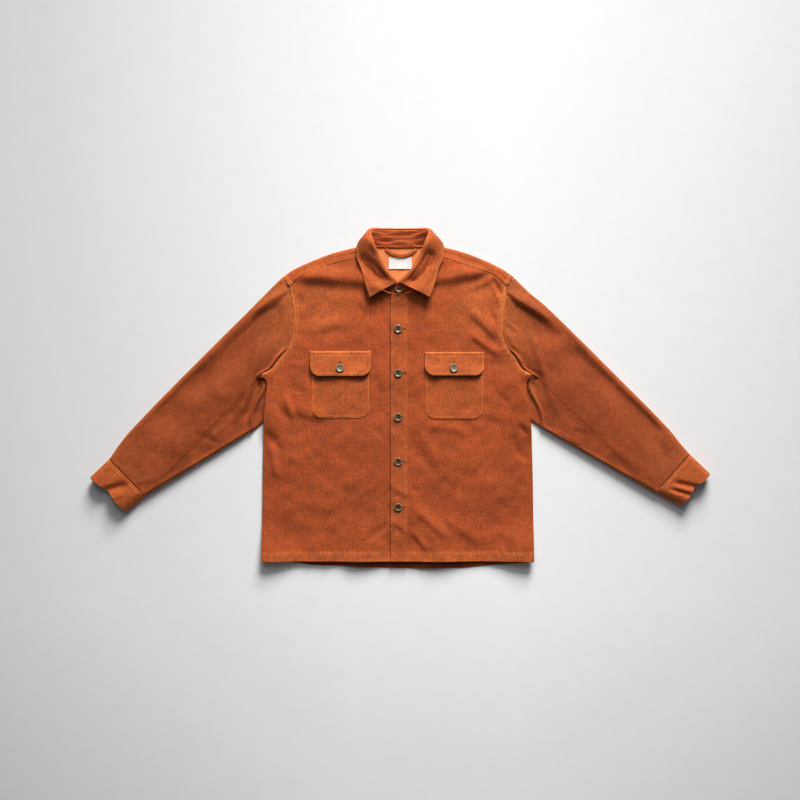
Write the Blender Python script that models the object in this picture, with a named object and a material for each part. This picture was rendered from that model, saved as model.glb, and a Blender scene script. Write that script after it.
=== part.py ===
"""Corduroy overshirt laid flat on its back, buttoned, with the sleeves spread.

The model is in metres, +X towards the wearer's left, +Y towards the collar and +Z up from the
surface the shirt lies on. The layout sizes below are in millimetres on the laid-out shirt:
x from the button line and y up from the front hem. Left in a table means -X.
"""
import math
from collections import namedtuple

import bmesh
import bpy
from mathutils import Vector

MM = 0.001
LEFT = -1
RIGHT = 1

# Cloth and clearances
CLOTH = 1.6
DOUBLE = 2.4
SEAM_GAP = 0.3
LAYER_GAP = 3.0
EDGE_GAP = 0.6
EDGE_ROUND = 11.0

# The middle of the whole outline, brought to the origin
CENTRE_X = 4.3
CENTRE_Y = 364.3

Row = namedtuple("Row", "y left right")
BODY_EDGES = (
    Row(-20, -303, 301),
    Row(0, -303, 301),
    Row(150, -302, 300),
    Row(270, -300, 297),
    Row(345, -296, 291),
    Row(395, -291, 284),
    Row(404, -294, 287),
    Row(413, -303.5, 296),
    Row(428, -282, 275),
    Row(453, -263, 260),
    Row(478, -243, 241),
    Row(518, -233, 231),
    Row(562, -231, 230),
    Row(590, -235, 232),
    Row(610, -241, 240),
    Row(632, -258, 257),
)
SHOULDER_TIP_Y = 632
ARMPIT_Y = 413
BACK_SEAM_Y = 600
UPPER_BACK_Y = 588
ARMPIT_CLOSING = 20

Mark = namedtuple("Mark", "out left right")
SHOULDER_LINE = (
    Mark(0, 697, 697),
    Mark(40, 697.5, 697.5),
    Mark(60, 699, 699),
    Mark(78, 703, 704),
    Mark(94, 699, 701),
    Mark(145, 686, 688),
    Mark(190, 669, 671),
    Mark(235, 648, 649),
    Mark(258, 632, 633),
)
FRONT_TOP = (
    Mark(0, 595, 595),
    Mark(20, 597, 597),
    Mark(40, 607, 606),
    Mark(58, 627, 624),
    Mark(70, 652, 648),
    Mark(78, 678, 680),
    Mark(96, 674, 677),
    Mark(139, 664.5, 664),
    Mark(177, 653, 652),
    Mark(214, 636, 637),
    Mark(242, 611, 612),
)
BACK_HEM = (
    Mark(0, -15, -15),
    Mark(75, -13, -15),
    Mark(130, -10, -15),
    Mark(180, -9, -11),
    Mark(245, -1, -5),
    Mark(303, 0, 0),
)

# Yoke: columns out from the centre, rows up the back, round the shoulder and down the front
NECK_HALF = 78
YOKE_END = 258
YOKE_COLUMNS = (0, 20, 40, 60, NECK_HALF, 96, 118, 145, 190, 225, YOKE_END)
YOKE_BACK_ROWS = 4
YOKE_TURN_ROWS = 4
YOKE_FRONT_ROWS = 2
SHOULDER_TURN = 8.0

# Soft folds: a ridge of this height along a line, fading out at its reach
Fold = namedtuple("Fold", "x0 y0 x1 y1 reach height")
LIFTS = (
    Fold(-303, 0, -303, 0, 100, 15),
    Fold(301, 0, 301, 0, 100, 15),
    Fold(-87, -20, -87, 50, 50, 9),
    Fold(72, -20, 72, 50, 50, 9),
    Fold(-299, 395, -299, 325, 75, 7.5),
    Fold(293, 395, 293, 325, 75, 7.5),
    Fold(-35, 700, 35, 700, 55, 3),
)
SWELLS = (
    Fold(-88, 664, -222, 632, 36, 7),
    Fold(94, 666, 222, 634, 36, 7),
    Fold(-66, 646, -10, 600, 40, 3),
    Fold(66, 646, 10, 600, 40, 3),
)
HEM_MOUTH = 5.5
HEM_MOUTH_REACH = 90

# Rows and columns of the body panels
BODY_ROWS = (0, 22, 52, 90, 140, 200, 255, 300, 340, 370, 395, 404, 413, 428, 453, 478, 518, 562)
TOP_ROWS = (0.3, 0.55, 0.75, 0.9, 1.0)
EDGE_INSETS = (11, 5, 1.5, 0)
COLUMN_SHARES = (0.18, 0.36, 0.54, 0.72, 0.87)

# Button front
PLACKET_EDGE = -17
PLACKET_SEAM = 20.3
PLACKET_THICK = 2.0
UNDER_EDGE = 17
UNDER_DIP = 2.1
UNDER_DIP_START = -46
UNDER_DIP_END = -22
OVER_INNER = (PLACKET_EDGE + 1, 0, PLACKET_SEAM, 46)
UNDER_INNER = (UNDER_EDGE, UNDER_DIP_END, UNDER_DIP_START)

# Sleeves: lines of the cloth from the armhole down to the cuff seam, then to the underarm seam
Line = namedtuple("Line", "across y tuck end")
SLEEVE_LINES = (
    Line(0, 631.5, -1.4, 0),
    Line(27, 610, -1, 0.23),
    Line(47, 588, -1, 0.40),
    Line(68, 562, -0.7, 0.58),
    Line(97, 518, -0.7, 0.83),
    Line(113, 478, -0.7, 0.97),
    Line(118, 453, -0.8, 1.02),
    Line(122, 428, -0.9, 1.06),
    Line(127, 400, -13, 1.13),
    Line(141, 385, -8, 1.32),
    Line(158, 368, 4, 1.53),
    Line(181, 340, 10, 1.82),
    Line(192, 322, 9, 1.955),
)
SLEEVE_COLUMNS = (0, 2, 7, 15, 27, 47, 68, 97, 113, 118, 122, 127, 141, 158, 181, 192)
SLEEVE_ROWS = (0, 0.03, 0.09, 0.2, 0.33, 0.48, 0.63, 0.77, 0.88, 0.95, 0.985, 1.0)
Bulge = namedtuple("Bulge", "along left right")
TOP_EDGE_BULGE = (
    Bulge(0, 0, 0),
    Bulge(0.07, 2.5, 1),
    Bulge(0.18, 4, 12),
    Bulge(0.31, 8, 16),
    Bulge(0.45, 12.5, 17),
    Bulge(0.6, 20.5, 17.5),
    Bulge(0.75, 25, 17),
    Bulge(0.87, 23, 12.5),
    Bulge(0.95, 12, 8),
    Bulge(1, 0, 0),
)
Height = namedtuple("Height", "along height")
SLEEVE_HEIGHTS = (
    Height(0, 6.5),
    Height(0.15, 9.5),
    Height(0.5, 15.5),
    Height(0.8, 18.5),
    Height(1, 21),
)
TUCK_HEIGHT = 5.0
TUCK_REACH = 45
TUCK_TOP_Y = 470
TUCK_SPREAD = 2
TUCK_SLOPE = 0.8
ARMHOLE_BLEND = 0.16
UNDERARM_SLOPE = 0.27
CUFF_SEAM_LENGTH = 110
TUBE_ROUND = 1.6
TUBE_ROUND_LEAST = 6.0
BULGE_X = 0.7
BULGE_Y = 0.71

Cuff = namedtuple("Cuff", "seam_top seam_low end_top end_low underarm")
CUFFS = {
    LEFT: Cuff((-640.5, 229), (-561, 147), (-682, 188), (-604, 112), (-300, 306)),
    RIGHT: Cuff((646, 240), (570, 154), (690.6, 196), (626, 125), (296, 311)),
}
CUFF_HEIGHTS = (Height(0, 21), Height(0.5, 25), Height(1, 27))
CUFF_ROUND = 15
CUFF_COLUMNS = (0, 0.02, 0.06, 0.13, 0.3, 0.5, 0.7, 0.87, 0.94, 0.98, 1.0)
CUFF_ROWS = 3

# Collar, one half from the front to the centre back: sizes are (out from the centre, y, z)
Station = namedtuple("Station", "seam top bend edge over")
COLLAR = (
    Station((7, 597.8, 7.4), (7, 619, 11.5), (30, 606, 17.5), (64, 587, 17), 3.5),
    Station((36, 610, 9.5), (19, 636, 18), (38, 627, 21), (73, 617, 16), 3.0),
    Station((56, 634, 12.5), (33, 654, 24), (52, 649, 23), (81, 648, 16), 2.0),
    Station((74, 670, 15.0), (45, 680, 29), (66, 679, 26), (91, 678, 17.5), 0.5),
    Station((75, 698, 14.0), (55, 706, 34), (82, 728, 31), (90, 708, 9), 0),
    Station((60, 701, 7.2), (60, 732, 26), (67, 755, 12), (58, 707, 1.8), 0),
    Station((38, 698, 6.5), (38, 737, 19), (38, 755, 7), (34, 704, 1.8), 0),
    Station((0, 697.3, 6.5), (0, 737, 16), (0, 754, 5), (0, 703, 1.8), 0),
)
COLLAR_SPREAD = {LEFT: 1.0, RIGHT: 1.1}
COLLAR_STEPS = 2
STAND_ROWS = 2
STAND_LAP = (16, 599, 7.4)
STAND_LAP_TOP = (16, 611, 10)

# Collar leaf: its turn over the top of the stand, in shares of a rise and an offset, then its fall
Turn = namedtuple("Turn", "rise offset")
LEAF_GAP = 1.3
FOLD_RISE = 2.4
FOLD_OFFSET = 3.9
FOLD_TURNS = (Turn(0.85, 0.08), Turn(1.25, 0.5), Turn(0.75, 0.95), Turn(0, 1.15))
LEAF_ROWS = 5
TANGENT_STEP = 0.3

# Patch pockets with flaps
Pocket = namedtuple("Pocket", "inner outer bottom flap_inner flap_outer flap_top flap_bottom button_x")
POCKETS = {
    LEFT: Pocket(-65, -192, 318, -61, -196, 468, 412, -129),
    RIGHT: Pocket(61, 189, 316, 59, 191, 466, 413, 124),
}
POCKET_TOP_BELOW_FLAP = 13
POCKET_CORNER = 22
POCKET_THICK = 1.5
CORNER_ROWS = (0, 2, 6.5, 13, POCKET_CORNER)
PATCH_ROWS = (0.35, 0.7, 1.0)
PATCH_COLUMNS = 6
FLAP_THICK = 2.2
FLAP_RISE = 2.4
FLAP_CLIMB = 11
FLAP_BUTTON_Y = 430

# Buttons
BUTTON_Y = (517, 419, 321, 222, 121)
BUTTON_RADIUS = 9.25
BUTTON_THICK = 3.2
BUTTON_DISH = 6.2
BUTTON_SIDES = 18
Point = namedtuple("Point", "radius z")
BUTTON_PROFILE = (
    Point(0, 0.4),
    Point(BUTTON_DISH, 0.2),
    Point(BUTTON_RADIUS - 1.2, 0),
    Point(BUTTON_RADIUS, 1.2),
    Point(BUTTON_RADIUS - 0.3, BUTTON_THICK - 0.7),
    Point(BUTTON_RADIUS - 1.4, BUTTON_THICK),
    Point(BUTTON_DISH, BUTTON_THICK - 0.4),
    Point(BUTTON_DISH - 1.6, BUTTON_THICK - 1.4),
    Point(0, BUTTON_THICK - 1.6),
)
HOLE_RADIUS = 1.0
HOLE_OFFSET = 1.7
NECK_BUTTON = (2, 606)

# Inside the neck
LOOP_START_X = -28
LOOP_END_X = 41
LOOP_TOP_Y = 694.5
LOOP_SAG = 15
LOOP_WIDTH = 6.5
LOOP_THICK = 1.8
LOOP_RISE = 2.4
LOOP_STEPS = 10
LABEL_X = (-21, 30)
LABEL_Y = (651, 676)
LABEL_THICK = 0.8
LABEL_RISE = 1.6
LABEL_COLUMNS = 4
LABEL_ROWS = 3

CORDUROY = "#9C4A2A"
CORDUROY_INSIDE = "#C2693E"
LABEL_WHITE = "#F1EFEA"
HORN = "#4A3524"


def clear_scene():
    """Remove whatever the scene holds."""
    for item in list(bpy.data.objects):
        bpy.data.objects.remove(item, do_unlink=True)


def linear(hex_colour):
    """Turn an sRGB hex value into linear RGBA."""
    channels = []
    for start in (1, 3, 5):
        value = int(hex_colour[start:start + 2], 16) / 255
        channels.append(value / 12.92 if value <= 0.04045 else ((value + 0.055) / 1.055) ** 2.4)
    return (*channels, 1.0)


def material(name, hex_colour, roughness):
    """A plain finish: colour and roughness, not metal."""
    finish = bpy.data.materials.new(name)
    finish.use_nodes = True
    shader = finish.node_tree.nodes["Principled BSDF"]
    shader.inputs["Base Color"].default_value = linear(hex_colour)
    shader.inputs["Roughness"].default_value = roughness
    shader.inputs["Metallic"].default_value = 0.0
    return finish


def read(table, key, value, at):
    """Read a table between its rows, in straight steps."""
    rows = list(table)
    if at <= getattr(rows[0], key):
        return getattr(rows[0], value)
    for low, high in zip(rows, rows[1:]):
        start = getattr(low, key)
        end = getattr(high, key)
        if at <= end:
            share = (at - start) / (end - start)
            return getattr(low, value) * (1 - share) + getattr(high, value) * share
    return getattr(rows[-1], value)


def mix(a, b, share):
    """A value or point between two others."""
    if isinstance(a, (int, float)):
        return a * (1 - share) + b * share
    return tuple(p * (1 - share) + q * share for p, q in zip(a, b))


def smooth(share):
    """Ease from 0 to 1 with level ends."""
    share = min(1.0, max(0.0, share))
    return share * share * (3 - 2 * share)


def side_name(side):
    """Table column for a side."""
    return "left" if side == LEFT else "right"


def body_edge(side, y):
    """Side seam or armhole at height y."""
    return read(BODY_EDGES, "y", side_name(side), y)


def mark(table, x):
    """A line such as the shoulder or the hem, read at x."""
    return read(table, "out", side_name(LEFT if x < 0 else RIGHT), abs(x))


def fold_sum(folds, x, y):
    """Height of the soft folds at a point."""
    total = 0.0
    for fold in folds:
        run_x = fold.x1 - fold.x0
        run_y = fold.y1 - fold.y0
        length = run_x * run_x + run_y * run_y
        along = 0.0
        if length > 0:
            along = ((x - fold.x0) * run_x + (y - fold.y0) * run_y) / length
            along = min(1.0, max(0.0, along))
        away = math.hypot(x - fold.x0 - run_x * along, y - fold.y0 - run_y * along) / fold.reach
        if away < 1:
            total += fold.height * (1 - away * away) ** 2
    return total


def rounding(distance, width):
    """Quarter-ellipse edge: 0 on the edge, 1 from the given width inwards."""
    if distance >= width:
        return 1.0
    share = 1 - max(0.0, distance) / width
    return math.sqrt(1 - share * share)


def lift(x, y):
    """Underside of the lower layer: level with the floor except where it bows up."""
    return fold_sum(LIFTS, x, y)


def gap(x, y):
    """Air between the lower and the upper layer of the body."""
    mouth = max(0.0, 1 - max(y, 0.0) / HEM_MOUTH_REACH)
    across = max(0.0, 1 - (x / 300) ** 2)
    return LAYER_GAP + HEM_MOUTH * mouth * mouth * across + fold_sum(SWELLS, x, y)


def side_closing(x, y):
    """How far each layer turns towards the other at the side seam."""
    side = LEFT if x < 0 else RIGHT
    distance = side * (body_edge(side, y) - x)
    seam = 1 - smooth((y - ARMPIT_Y) / ARMPIT_CLOSING)
    return (gap(x, y) - EDGE_GAP) / 2 * (1 - rounding(distance, EDGE_ROUND)) * seam


def back_under(x, y):
    """Underside of the back panel."""
    return lift(x, y) + side_closing(x, y)


def front_under(side, x, y):
    """Underside of a front panel; the right-hand one dips to pass under the placket."""
    height = lift(x, y) + CLOTH + gap(x, y) - side_closing(x, y)
    if side == LEFT:
        height -= UNDER_DIP * smooth((x - UNDER_DIP_START) / (UNDER_DIP_END - UNDER_DIP_START))
    return height


def front_top(x, y):
    """Outer face of the fronts."""
    side = LEFT if x < PLACKET_EDGE else RIGHT
    return front_under(side, x, y) + CLOTH


def slab(columns, rows, place, keep=None):
    """A cloth wall: a flat slab whose corners (column, row, face) are carried to their place."""
    bm = bmesh.new()
    bmesh.ops.create_grid(bm, x_segments=columns, y_segments=rows, size=0.5)
    for vert in bm.verts:
        vert.co.x = round((vert.co.x + 0.5) * columns)
        vert.co.y = round((vert.co.y + 0.5) * rows)
    if keep:
        spare = [f for f in bm.faces if not keep(*f.calc_center_median().xy)]
        bmesh.ops.delete(bm, geom=spare, context="FACES")
    bmesh.ops.solidify(bm, geom=bm.faces[:], thickness=1.0)
    for vert in bm.verts:
        face = 0 if abs(vert.co.z) > 0.5 else 1
        vert.co = Vector(place(round(vert.co.x), round(vert.co.y), face))
    bmesh.ops.recalc_face_normals(bm, faces=bm.faces[:])
    if bm.calc_volume(signed=True) < 0:
        bmesh.ops.reverse_faces(bm, faces=bm.faces[:])
    return bm


def finish(name, bm, look):
    """Put a millimetre mesh into the scene in metres, about the middle of the outline."""
    for vert in bm.verts:
        vert.co = (vert.co - Vector((CENTRE_X, CENTRE_Y, 0))) * MM
    mesh = bpy.data.meshes.new(name)
    bm.to_mesh(mesh)
    bm.free()
    mesh.shade_smooth()
    mesh.set_sharp_from_angle(angle=math.radians(35))
    mesh.materials.append(look)
    item = bpy.data.objects.new(name, mesh)
    bpy.context.scene.collection.objects.link(item)
    return item


def body_columns(side, inner, y):
    """Places of a panel's columns: the inner ones, then on to the side seam or armhole."""
    edge = body_edge(side, y)
    last = edge - side * EDGE_INSETS[0]
    places = list(inner) + [mix(inner[-1], last, share) for share in COLUMN_SHARES]
    return places + [edge - side * inset for inset in EDGE_INSETS]


def column_count(inner):
    """How many strips a panel with these inner columns has."""
    return len(inner) + len(COLUMN_SHARES) + len(EDGE_INSETS) - 1


def build_back(look):
    """Back panel, hem to yoke seam, flat on the floor."""
    rows = BODY_ROWS + (UPPER_BACK_Y, BACK_SEAM_Y - SEAM_GAP)
    inner = {LEFT: (0, *UNDER_INNER[1:]), RIGHT: OVER_INNER[1:]}
    half = column_count(inner[LEFT])

    def place(column, row, face):
        side = LEFT if column < half else RIGHT
        y = rows[row]
        x = body_columns(side, inner[side], y)[abs(column - half)]
        if row == 0:
            y = mark(BACK_HEM, x)
        return x, y, back_under(x, y) + CLOTH * face

    return finish("back", slab(2 * half, len(rows) - 1, place), look)


def build_front(side, name, inner, look):
    """Front panel, hem to yoke seam and neckline."""
    count = column_count(inner)
    last_row = BODY_ROWS[-1]
    rows = len(BODY_ROWS) + len(TOP_ROWS) - 1
    seam_end = FRONT_TOP[-1]
    seam_y = getattr(seam_end, side_name(side))

    def place(column, row, face):
        if row < len(BODY_ROWS):
            y = BODY_ROWS[row]
            x = body_columns(side, inner, y)[column]
        else:
            share = TOP_ROWS[row - len(BODY_ROWS)]
            edge_y = mix(last_row, seam_y, share)
            x = body_columns(side, inner, edge_y)[column]
            y = mix(last_row, mark(FRONT_TOP, x) - SEAM_GAP, share)
        return x, y, front_under(side, x, y) + CLOTH * face

    return finish(name, slab(count, rows, place), look)


def build_yoke(look):
    """Back yoke, over both shoulders to the front yoke seams, cut out at the neck."""
    half = len(YOKE_COLUMNS) - 1
    turn_start = SHOULDER_TIP_Y - SHOULDER_TURN

    def place(column, row, face):
        side = LEFT if column < half else RIGHT
        out = YOKE_COLUMNS[abs(column - half)]
        share_out = out / YOKE_END
        fold_y = mark(SHOULDER_LINE, side * out)
        straight_end = fold_y if out < NECK_HALF else fold_y - SHOULDER_TURN
        inside = CLOTH * face
        if row <= YOKE_BACK_ROWS:
            share = row / YOKE_BACK_ROWS
            x = share_out * body_edge(side, mix(BACK_SEAM_Y, turn_start, share))
            y = mix(BACK_SEAM_Y, straight_end, share)
            return x, y, lift(x, y) + inside
        if row <= YOKE_BACK_ROWS + YOKE_TURN_ROWS:
            angle = math.pi * (row - YOKE_BACK_ROWS) / YOKE_TURN_ROWS
            run = SHOULDER_TURN * math.sin(angle)
            x = share_out * body_edge(side, turn_start + run)
            height = 2 * CLOTH + gap(x, straight_end)
            y = straight_end + run - inside * math.sin(angle)
            z = height / 2 - (height / 2 - inside) * math.cos(angle)
            return x, y, lift(x, straight_end) + z
        share = (row - YOKE_BACK_ROWS - YOKE_TURN_ROWS) / YOKE_FRONT_ROWS
        start_x = share_out * body_edge(side, turn_start)
        end_share = (out - NECK_HALF) / (YOKE_END - NECK_HALF)
        end_x = side * mix(NECK_HALF, FRONT_TOP[-1].out, end_share)
        x = mix(start_x, end_x, share)
        y = mix(straight_end, mark(FRONT_TOP, end_x) + SEAM_GAP / 2, share)
        return x, y, lift(x, y) + 2 * CLOTH + gap(x, y) - inside

    def keep(column, row):
        neck = abs(column - half) < YOKE_COLUMNS.index(NECK_HALF)
        return not neck or row < YOKE_BACK_ROWS

    rows = YOKE_BACK_ROWS + YOKE_TURN_ROWS + YOKE_FRONT_ROWS
    return finish("yoke", slab(2 * half, rows, place, keep=keep), look)


def sleeve_start(side, line_y, tuck):
    """Where a line of the sleeve leaves the body; a tuck lies under the side seam."""
    return body_edge(side, line_y) - side * tuck, line_y


def sleeve_end(side, end):
    """A place on the cuff seam (0 to 1), then on the underarm seam (1 to 2)."""
    cuff = CUFFS[side]
    if end <= 1:
        return mix(cuff.seam_top, cuff.seam_low, end)
    return mix(cuff.seam_low, cuff.underarm, end - 1)


def sleeve_plan(side, across, along):
    """A place on the laid-out sleeve, and its distance from the nearest closed edge."""
    y = read(SLEEVE_LINES, "across", "y", across)
    tuck = read(SLEEVE_LINES, "across", "tuck", across)
    end = read(SLEEVE_LINES, "across", "end", across)
    start = sleeve_start(side, y, tuck)
    stop = sleeve_end(side, end)
    x, y = mix(start, stop, along)
    last = SLEEVE_LINES[-1].across
    bulge = read(TOP_EDGE_BULGE, "along", side_name(side), along) * (1 - across / last) ** 2
    length = math.dist(start, stop)
    to_last = (last - across) * BULGE_X
    to_underarm = (1 - along) * length * UNDERARM_SLOPE + max(0.0, 1 - end) * CUFF_SEAM_LENGTH
    underneath = SLEEVE_LINES[7].across
    to_tuck = along * length * TUCK_SLOPE + max(0.0, underneath - across) * TUCK_SPREAD
    distance = min(across, to_last, to_underarm, to_tuck)
    return x + side * BULGE_X * bulge, y + BULGE_Y * bulge, distance


def tube(name, columns, rows, place, thickness, look):
    """A tube of cloth from its outer face: its meeting edges are sewn, then the wall goes inwards."""
    bm = bmesh.new()
    bmesh.ops.create_grid(bm, x_segments=columns, y_segments=rows, size=0.5)
    for vert in bm.verts:
        column = round((vert.co.x + 0.5) * columns)
        row = round((vert.co.y + 0.5) * rows)
        vert.co = Vector(place(column, row))
    bmesh.ops.remove_doubles(bm, verts=bm.verts[:], dist=0.02)
    bmesh.ops.recalc_face_normals(bm, faces=bm.faces[:])
    highest = max(bm.faces, key=lambda face: face.calc_center_median().z)
    if highest.normal.z < 0:
        bmesh.ops.reverse_faces(bm, faces=bm.faces[:])
    item = finish(name, bm, look)
    wall = item.modifiers.new("wall", "SOLIDIFY")
    wall.thickness = thickness * MM
    wall.offset = -1.0
    return item


def build_sleeve(side, name, look):
    """Sleeve: a flattened tube, folded along its top edge and closed at the underarm."""
    half = len(SLEEVE_COLUMNS) - 1
    above_tuck = SLEEVE_LINES[5].across
    tucked = SLEEVE_LINES[6].across

    def place(column, row):
        across = SLEEVE_COLUMNS[abs(column - half)]
        along = SLEEVE_ROWS[row]
        x, y, distance = sleeve_plan(side, across, along)
        height = read(SLEEVE_HEIGHTS, "along", "height", along)
        height = mix(2 * CLOTH + gap(x, y), height, smooth(along / ARMHOLE_BLEND))
        from_body = side * (x - body_edge(side, y)) if y < TUCK_TOP_Y else TUCK_REACH
        below = smooth((across - above_tuck) / (tucked - above_tuck)) * (1 - smooth(from_body / TUCK_REACH))
        half_height = mix(height, TUCK_HEIGHT, below) / 2
        offset = half_height * rounding(distance, max(half_height * TUBE_ROUND, TUBE_ROUND_LEAST))
        return x, y, half_height + (offset if column > half else -offset)

    return tube(name, 2 * half, len(SLEEVE_ROWS) - 1, place, CLOTH, look)


def build_cuff(side, name, look):
    """Cuff: a stiff flattened ring of doubled cloth, open at the hand."""
    cuff = CUFFS[side]
    half = len(CUFF_COLUMNS) - 1
    count = 2 * half
    depth = math.dist(cuff.seam_top, cuff.end_top)

    def place(column, row):
        along = mix(SEAM_GAP / depth, 1.0, row / CUFF_ROWS)
        share = CUFF_COLUMNS[column if column <= half else count - column]
        top = mix(cuff.seam_top, cuff.end_top, along)
        low = mix(cuff.seam_low, cuff.end_low, along)
        x, y = mix(top, low, share)
        half_height = read(CUFF_HEIGHTS, "along", "height", along) / 2
        distance = min(share, 1 - share) * math.dist(top, low)
        offset = half_height * rounding(distance, CUFF_ROUND)
        return x, y, half_height + (offset if column <= half else -offset)

    return tube(name, count, CUFF_ROWS, place, DOUBLE, look)


def collar_point(side, values, over):
    """A collar size as a point: spread to its side, and raised where it laps over."""
    out, y, z = values
    raised = over if side == RIGHT else 0.0
    return Vector((side * out * COLLAR_SPREAD[side], y, z + raised))


def curve_between(points, position):
    """A smooth curve through points, read at a place counted in points."""
    index = min(int(position), len(points) - 2)
    share = position - index
    before = points[max(index - 1, 0)]
    start = points[index]
    end = points[index + 1]
    after = points[min(index + 2, len(points) - 1)]
    near = (end - before) * 0.5
    far = (after - start) * 0.5
    square = share * share
    cube = square * share
    return (
        start * (2 * cube - 3 * square + 1)
        + near * (cube - 2 * square + share)
        + end * (3 * square - 2 * cube)
        + far * (cube - square)
    )


def collar_lines():
    """The collar's seam, top, bend and edge lines, from the wearer's right front to the left."""
    lines = {}
    for part in ("seam", "top", "bend", "edge"):
        left = [collar_point(LEFT, getattr(s, part), s.over) for s in COLLAR]
        right = [collar_point(RIGHT, getattr(s, part), s.over) for s in COLLAR[:-1]]
        lines[part] = left + right[::-1]
    return lines


def leaf_section(lines, position):
    """Cross-section of the collar leaf: over the fold, then out to the edge."""
    seam = curve_between(lines["seam"], position)
    top = curve_between(lines["top"], position)
    bend = curve_between(lines["bend"], position)
    edge = curve_between(lines["edge"], position)
    up = (top - seam).normalized()
    last = len(lines["top"]) - 1
    ahead = curve_between(lines["top"], min(position + TANGENT_STEP, last))
    behind = curve_between(lines["top"], max(position - TANGENT_STEP, 0))
    away = up.cross(ahead - behind).normalized()
    points = [top + up * LEAF_GAP]
    for turn in FOLD_TURNS:
        points.append(top + up * FOLD_RISE * turn.rise + away * FOLD_OFFSET * turn.offset)
    start = points[-1]
    for step in range(1, LEAF_ROWS + 1):
        share = step / LEAF_ROWS
        rest = 1 - share
        points.append(start * rest * rest + bend * 2 * rest * share + edge * share * share)
    return points


def thicken(point_at, columns, rows, thickness):
    """Make a wall about a surface given by its grid points."""
    points = [[point_at(c, r) for r in range(rows + 1)] for c in range(columns + 1)]

    def normal(column, row):
        across = points[min(column + 1, columns)][row] - points[max(column - 1, 0)][row]
        along = points[column][min(row + 1, rows)] - points[column][max(row - 1, 0)]
        return across.cross(along).normalized()

    def place(column, row, face):
        return points[column][row] + normal(column, row) * thickness * (face - 0.5)

    return slab(columns, rows, place)


def build_stand(look):
    """Collar stand: a doubled band from one front end round the neck to the other."""
    lines = collar_lines()
    seam = [Vector((STAND_LAP[0], STAND_LAP[1], STAND_LAP[2]))] + lines["seam"]
    top = [Vector((STAND_LAP_TOP[0], STAND_LAP_TOP[1], STAND_LAP_TOP[2]))] + lines["top"]
    over = COLLAR[0].over
    seam.append(Vector((-STAND_LAP[0], STAND_LAP[1], STAND_LAP[2] + over)))
    top.append(Vector((-STAND_LAP_TOP[0], STAND_LAP_TOP[1], STAND_LAP_TOP[2] + over)))
    columns = (len(seam) - 1) * COLLAR_STEPS

    def point_at(column, row):
        position = column / COLLAR_STEPS
        low = curve_between(seam, position)
        high = curve_between(top, position)
        return low.lerp(high, row / STAND_ROWS)

    return finish("collar_stand", thicken(point_at, columns, STAND_ROWS, DOUBLE), look)


def build_leaf(look):
    """Collar leaf, turned over the stand, from point to point."""
    lines = collar_lines()
    columns = (len(lines["top"]) - 1) * COLLAR_STEPS
    sections = [leaf_section(lines, column / COLLAR_STEPS) for column in range(columns + 1)]
    rows = len(sections[0]) - 1

    def point_at(column, row):
        return sections[column][row]

    return finish("collar_leaf", thicken(point_at, columns, rows, DOUBLE), look)


def build_placket(look):
    """Placket: the folded buttonhole strip on the upper front."""
    columns = (PLACKET_EDGE, 0, PLACKET_SEAM)
    count = len(BODY_ROWS) + len(TOP_ROWS) - 1

    def place(column, row, face):
        x = columns[column]
        if row < len(BODY_ROWS):
            y = BODY_ROWS[row]
        else:
            y = mix(BODY_ROWS[-1], mark(FRONT_TOP, abs(x)) - SEAM_GAP, TOP_ROWS[row - len(BODY_ROWS)])
        return x, y, front_under(RIGHT, x, y) + CLOTH + SEAM_GAP + PLACKET_THICK * face

    return finish("placket", slab(len(columns) - 1, count, place), look)


def corner_inset(distance, radius):
    """How far a rounded lower corner draws in the side at a distance above the bottom."""
    if distance >= radius:
        return 0.0
    share = 1 - distance / radius
    return radius * (1 - math.sqrt(1 - share * share))


def patch(name, inner, outer, bottom, top, thickness, level, look):
    """A patch with round lower corners on a front, with its underside at level(y) above the cloth."""
    rows = [bottom + height for height in CORNER_ROWS]
    rows += [mix(rows[-1], top, share) for share in PATCH_ROWS]
    sign = 1 if outer > inner else -1

    def place(column, row, face):
        y = rows[row]
        inset = corner_inset(y - bottom, POCKET_CORNER)
        x = mix(inner + sign * inset, outer - sign * inset, column / PATCH_COLUMNS)
        return x, y, front_top(x, y) + level(y) + thickness * face

    return finish(name, slab(PATCH_COLUMNS, len(rows) - 1, place), look)


def flap_level(pocket, y):
    """Underside of a flap above the front: on the cloth at its seam, then over the pocket's top."""
    below = pocket.flap_top - y
    on_pocket = (POCKET_THICK + SEAM_GAP) * smooth(below / FLAP_CLIMB)
    return SEAM_GAP + on_pocket + FLAP_RISE * (below / (pocket.flap_top - pocket.flap_bottom)) ** 2


def build_pockets(look):
    """The two chest pockets and their flaps."""
    for side, pocket in POCKETS.items():
        word = "right" if side == LEFT else "left"
        top = pocket.flap_top - POCKET_TOP_BELOW_FLAP
        patch("pocket_" + word, pocket.inner, pocket.outer, pocket.bottom, top,
              POCKET_THICK, lambda y: SEAM_GAP, look)
        patch("flap_" + word, pocket.flap_inner, pocket.flap_outer, pocket.flap_bottom,
              pocket.flap_top, FLAP_THICK, lambda y, flap=pocket: flap_level(flap, y), look)
        base = front_top(pocket.button_x, FLAP_BUTTON_Y) + FLAP_THICK
        seat = base + flap_level(pocket, FLAP_BUTTON_Y - BUTTON_RADIUS)
        build_button("pocket_button_" + word, pocket.button_x, FLAP_BUTTON_Y, seat)


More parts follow.
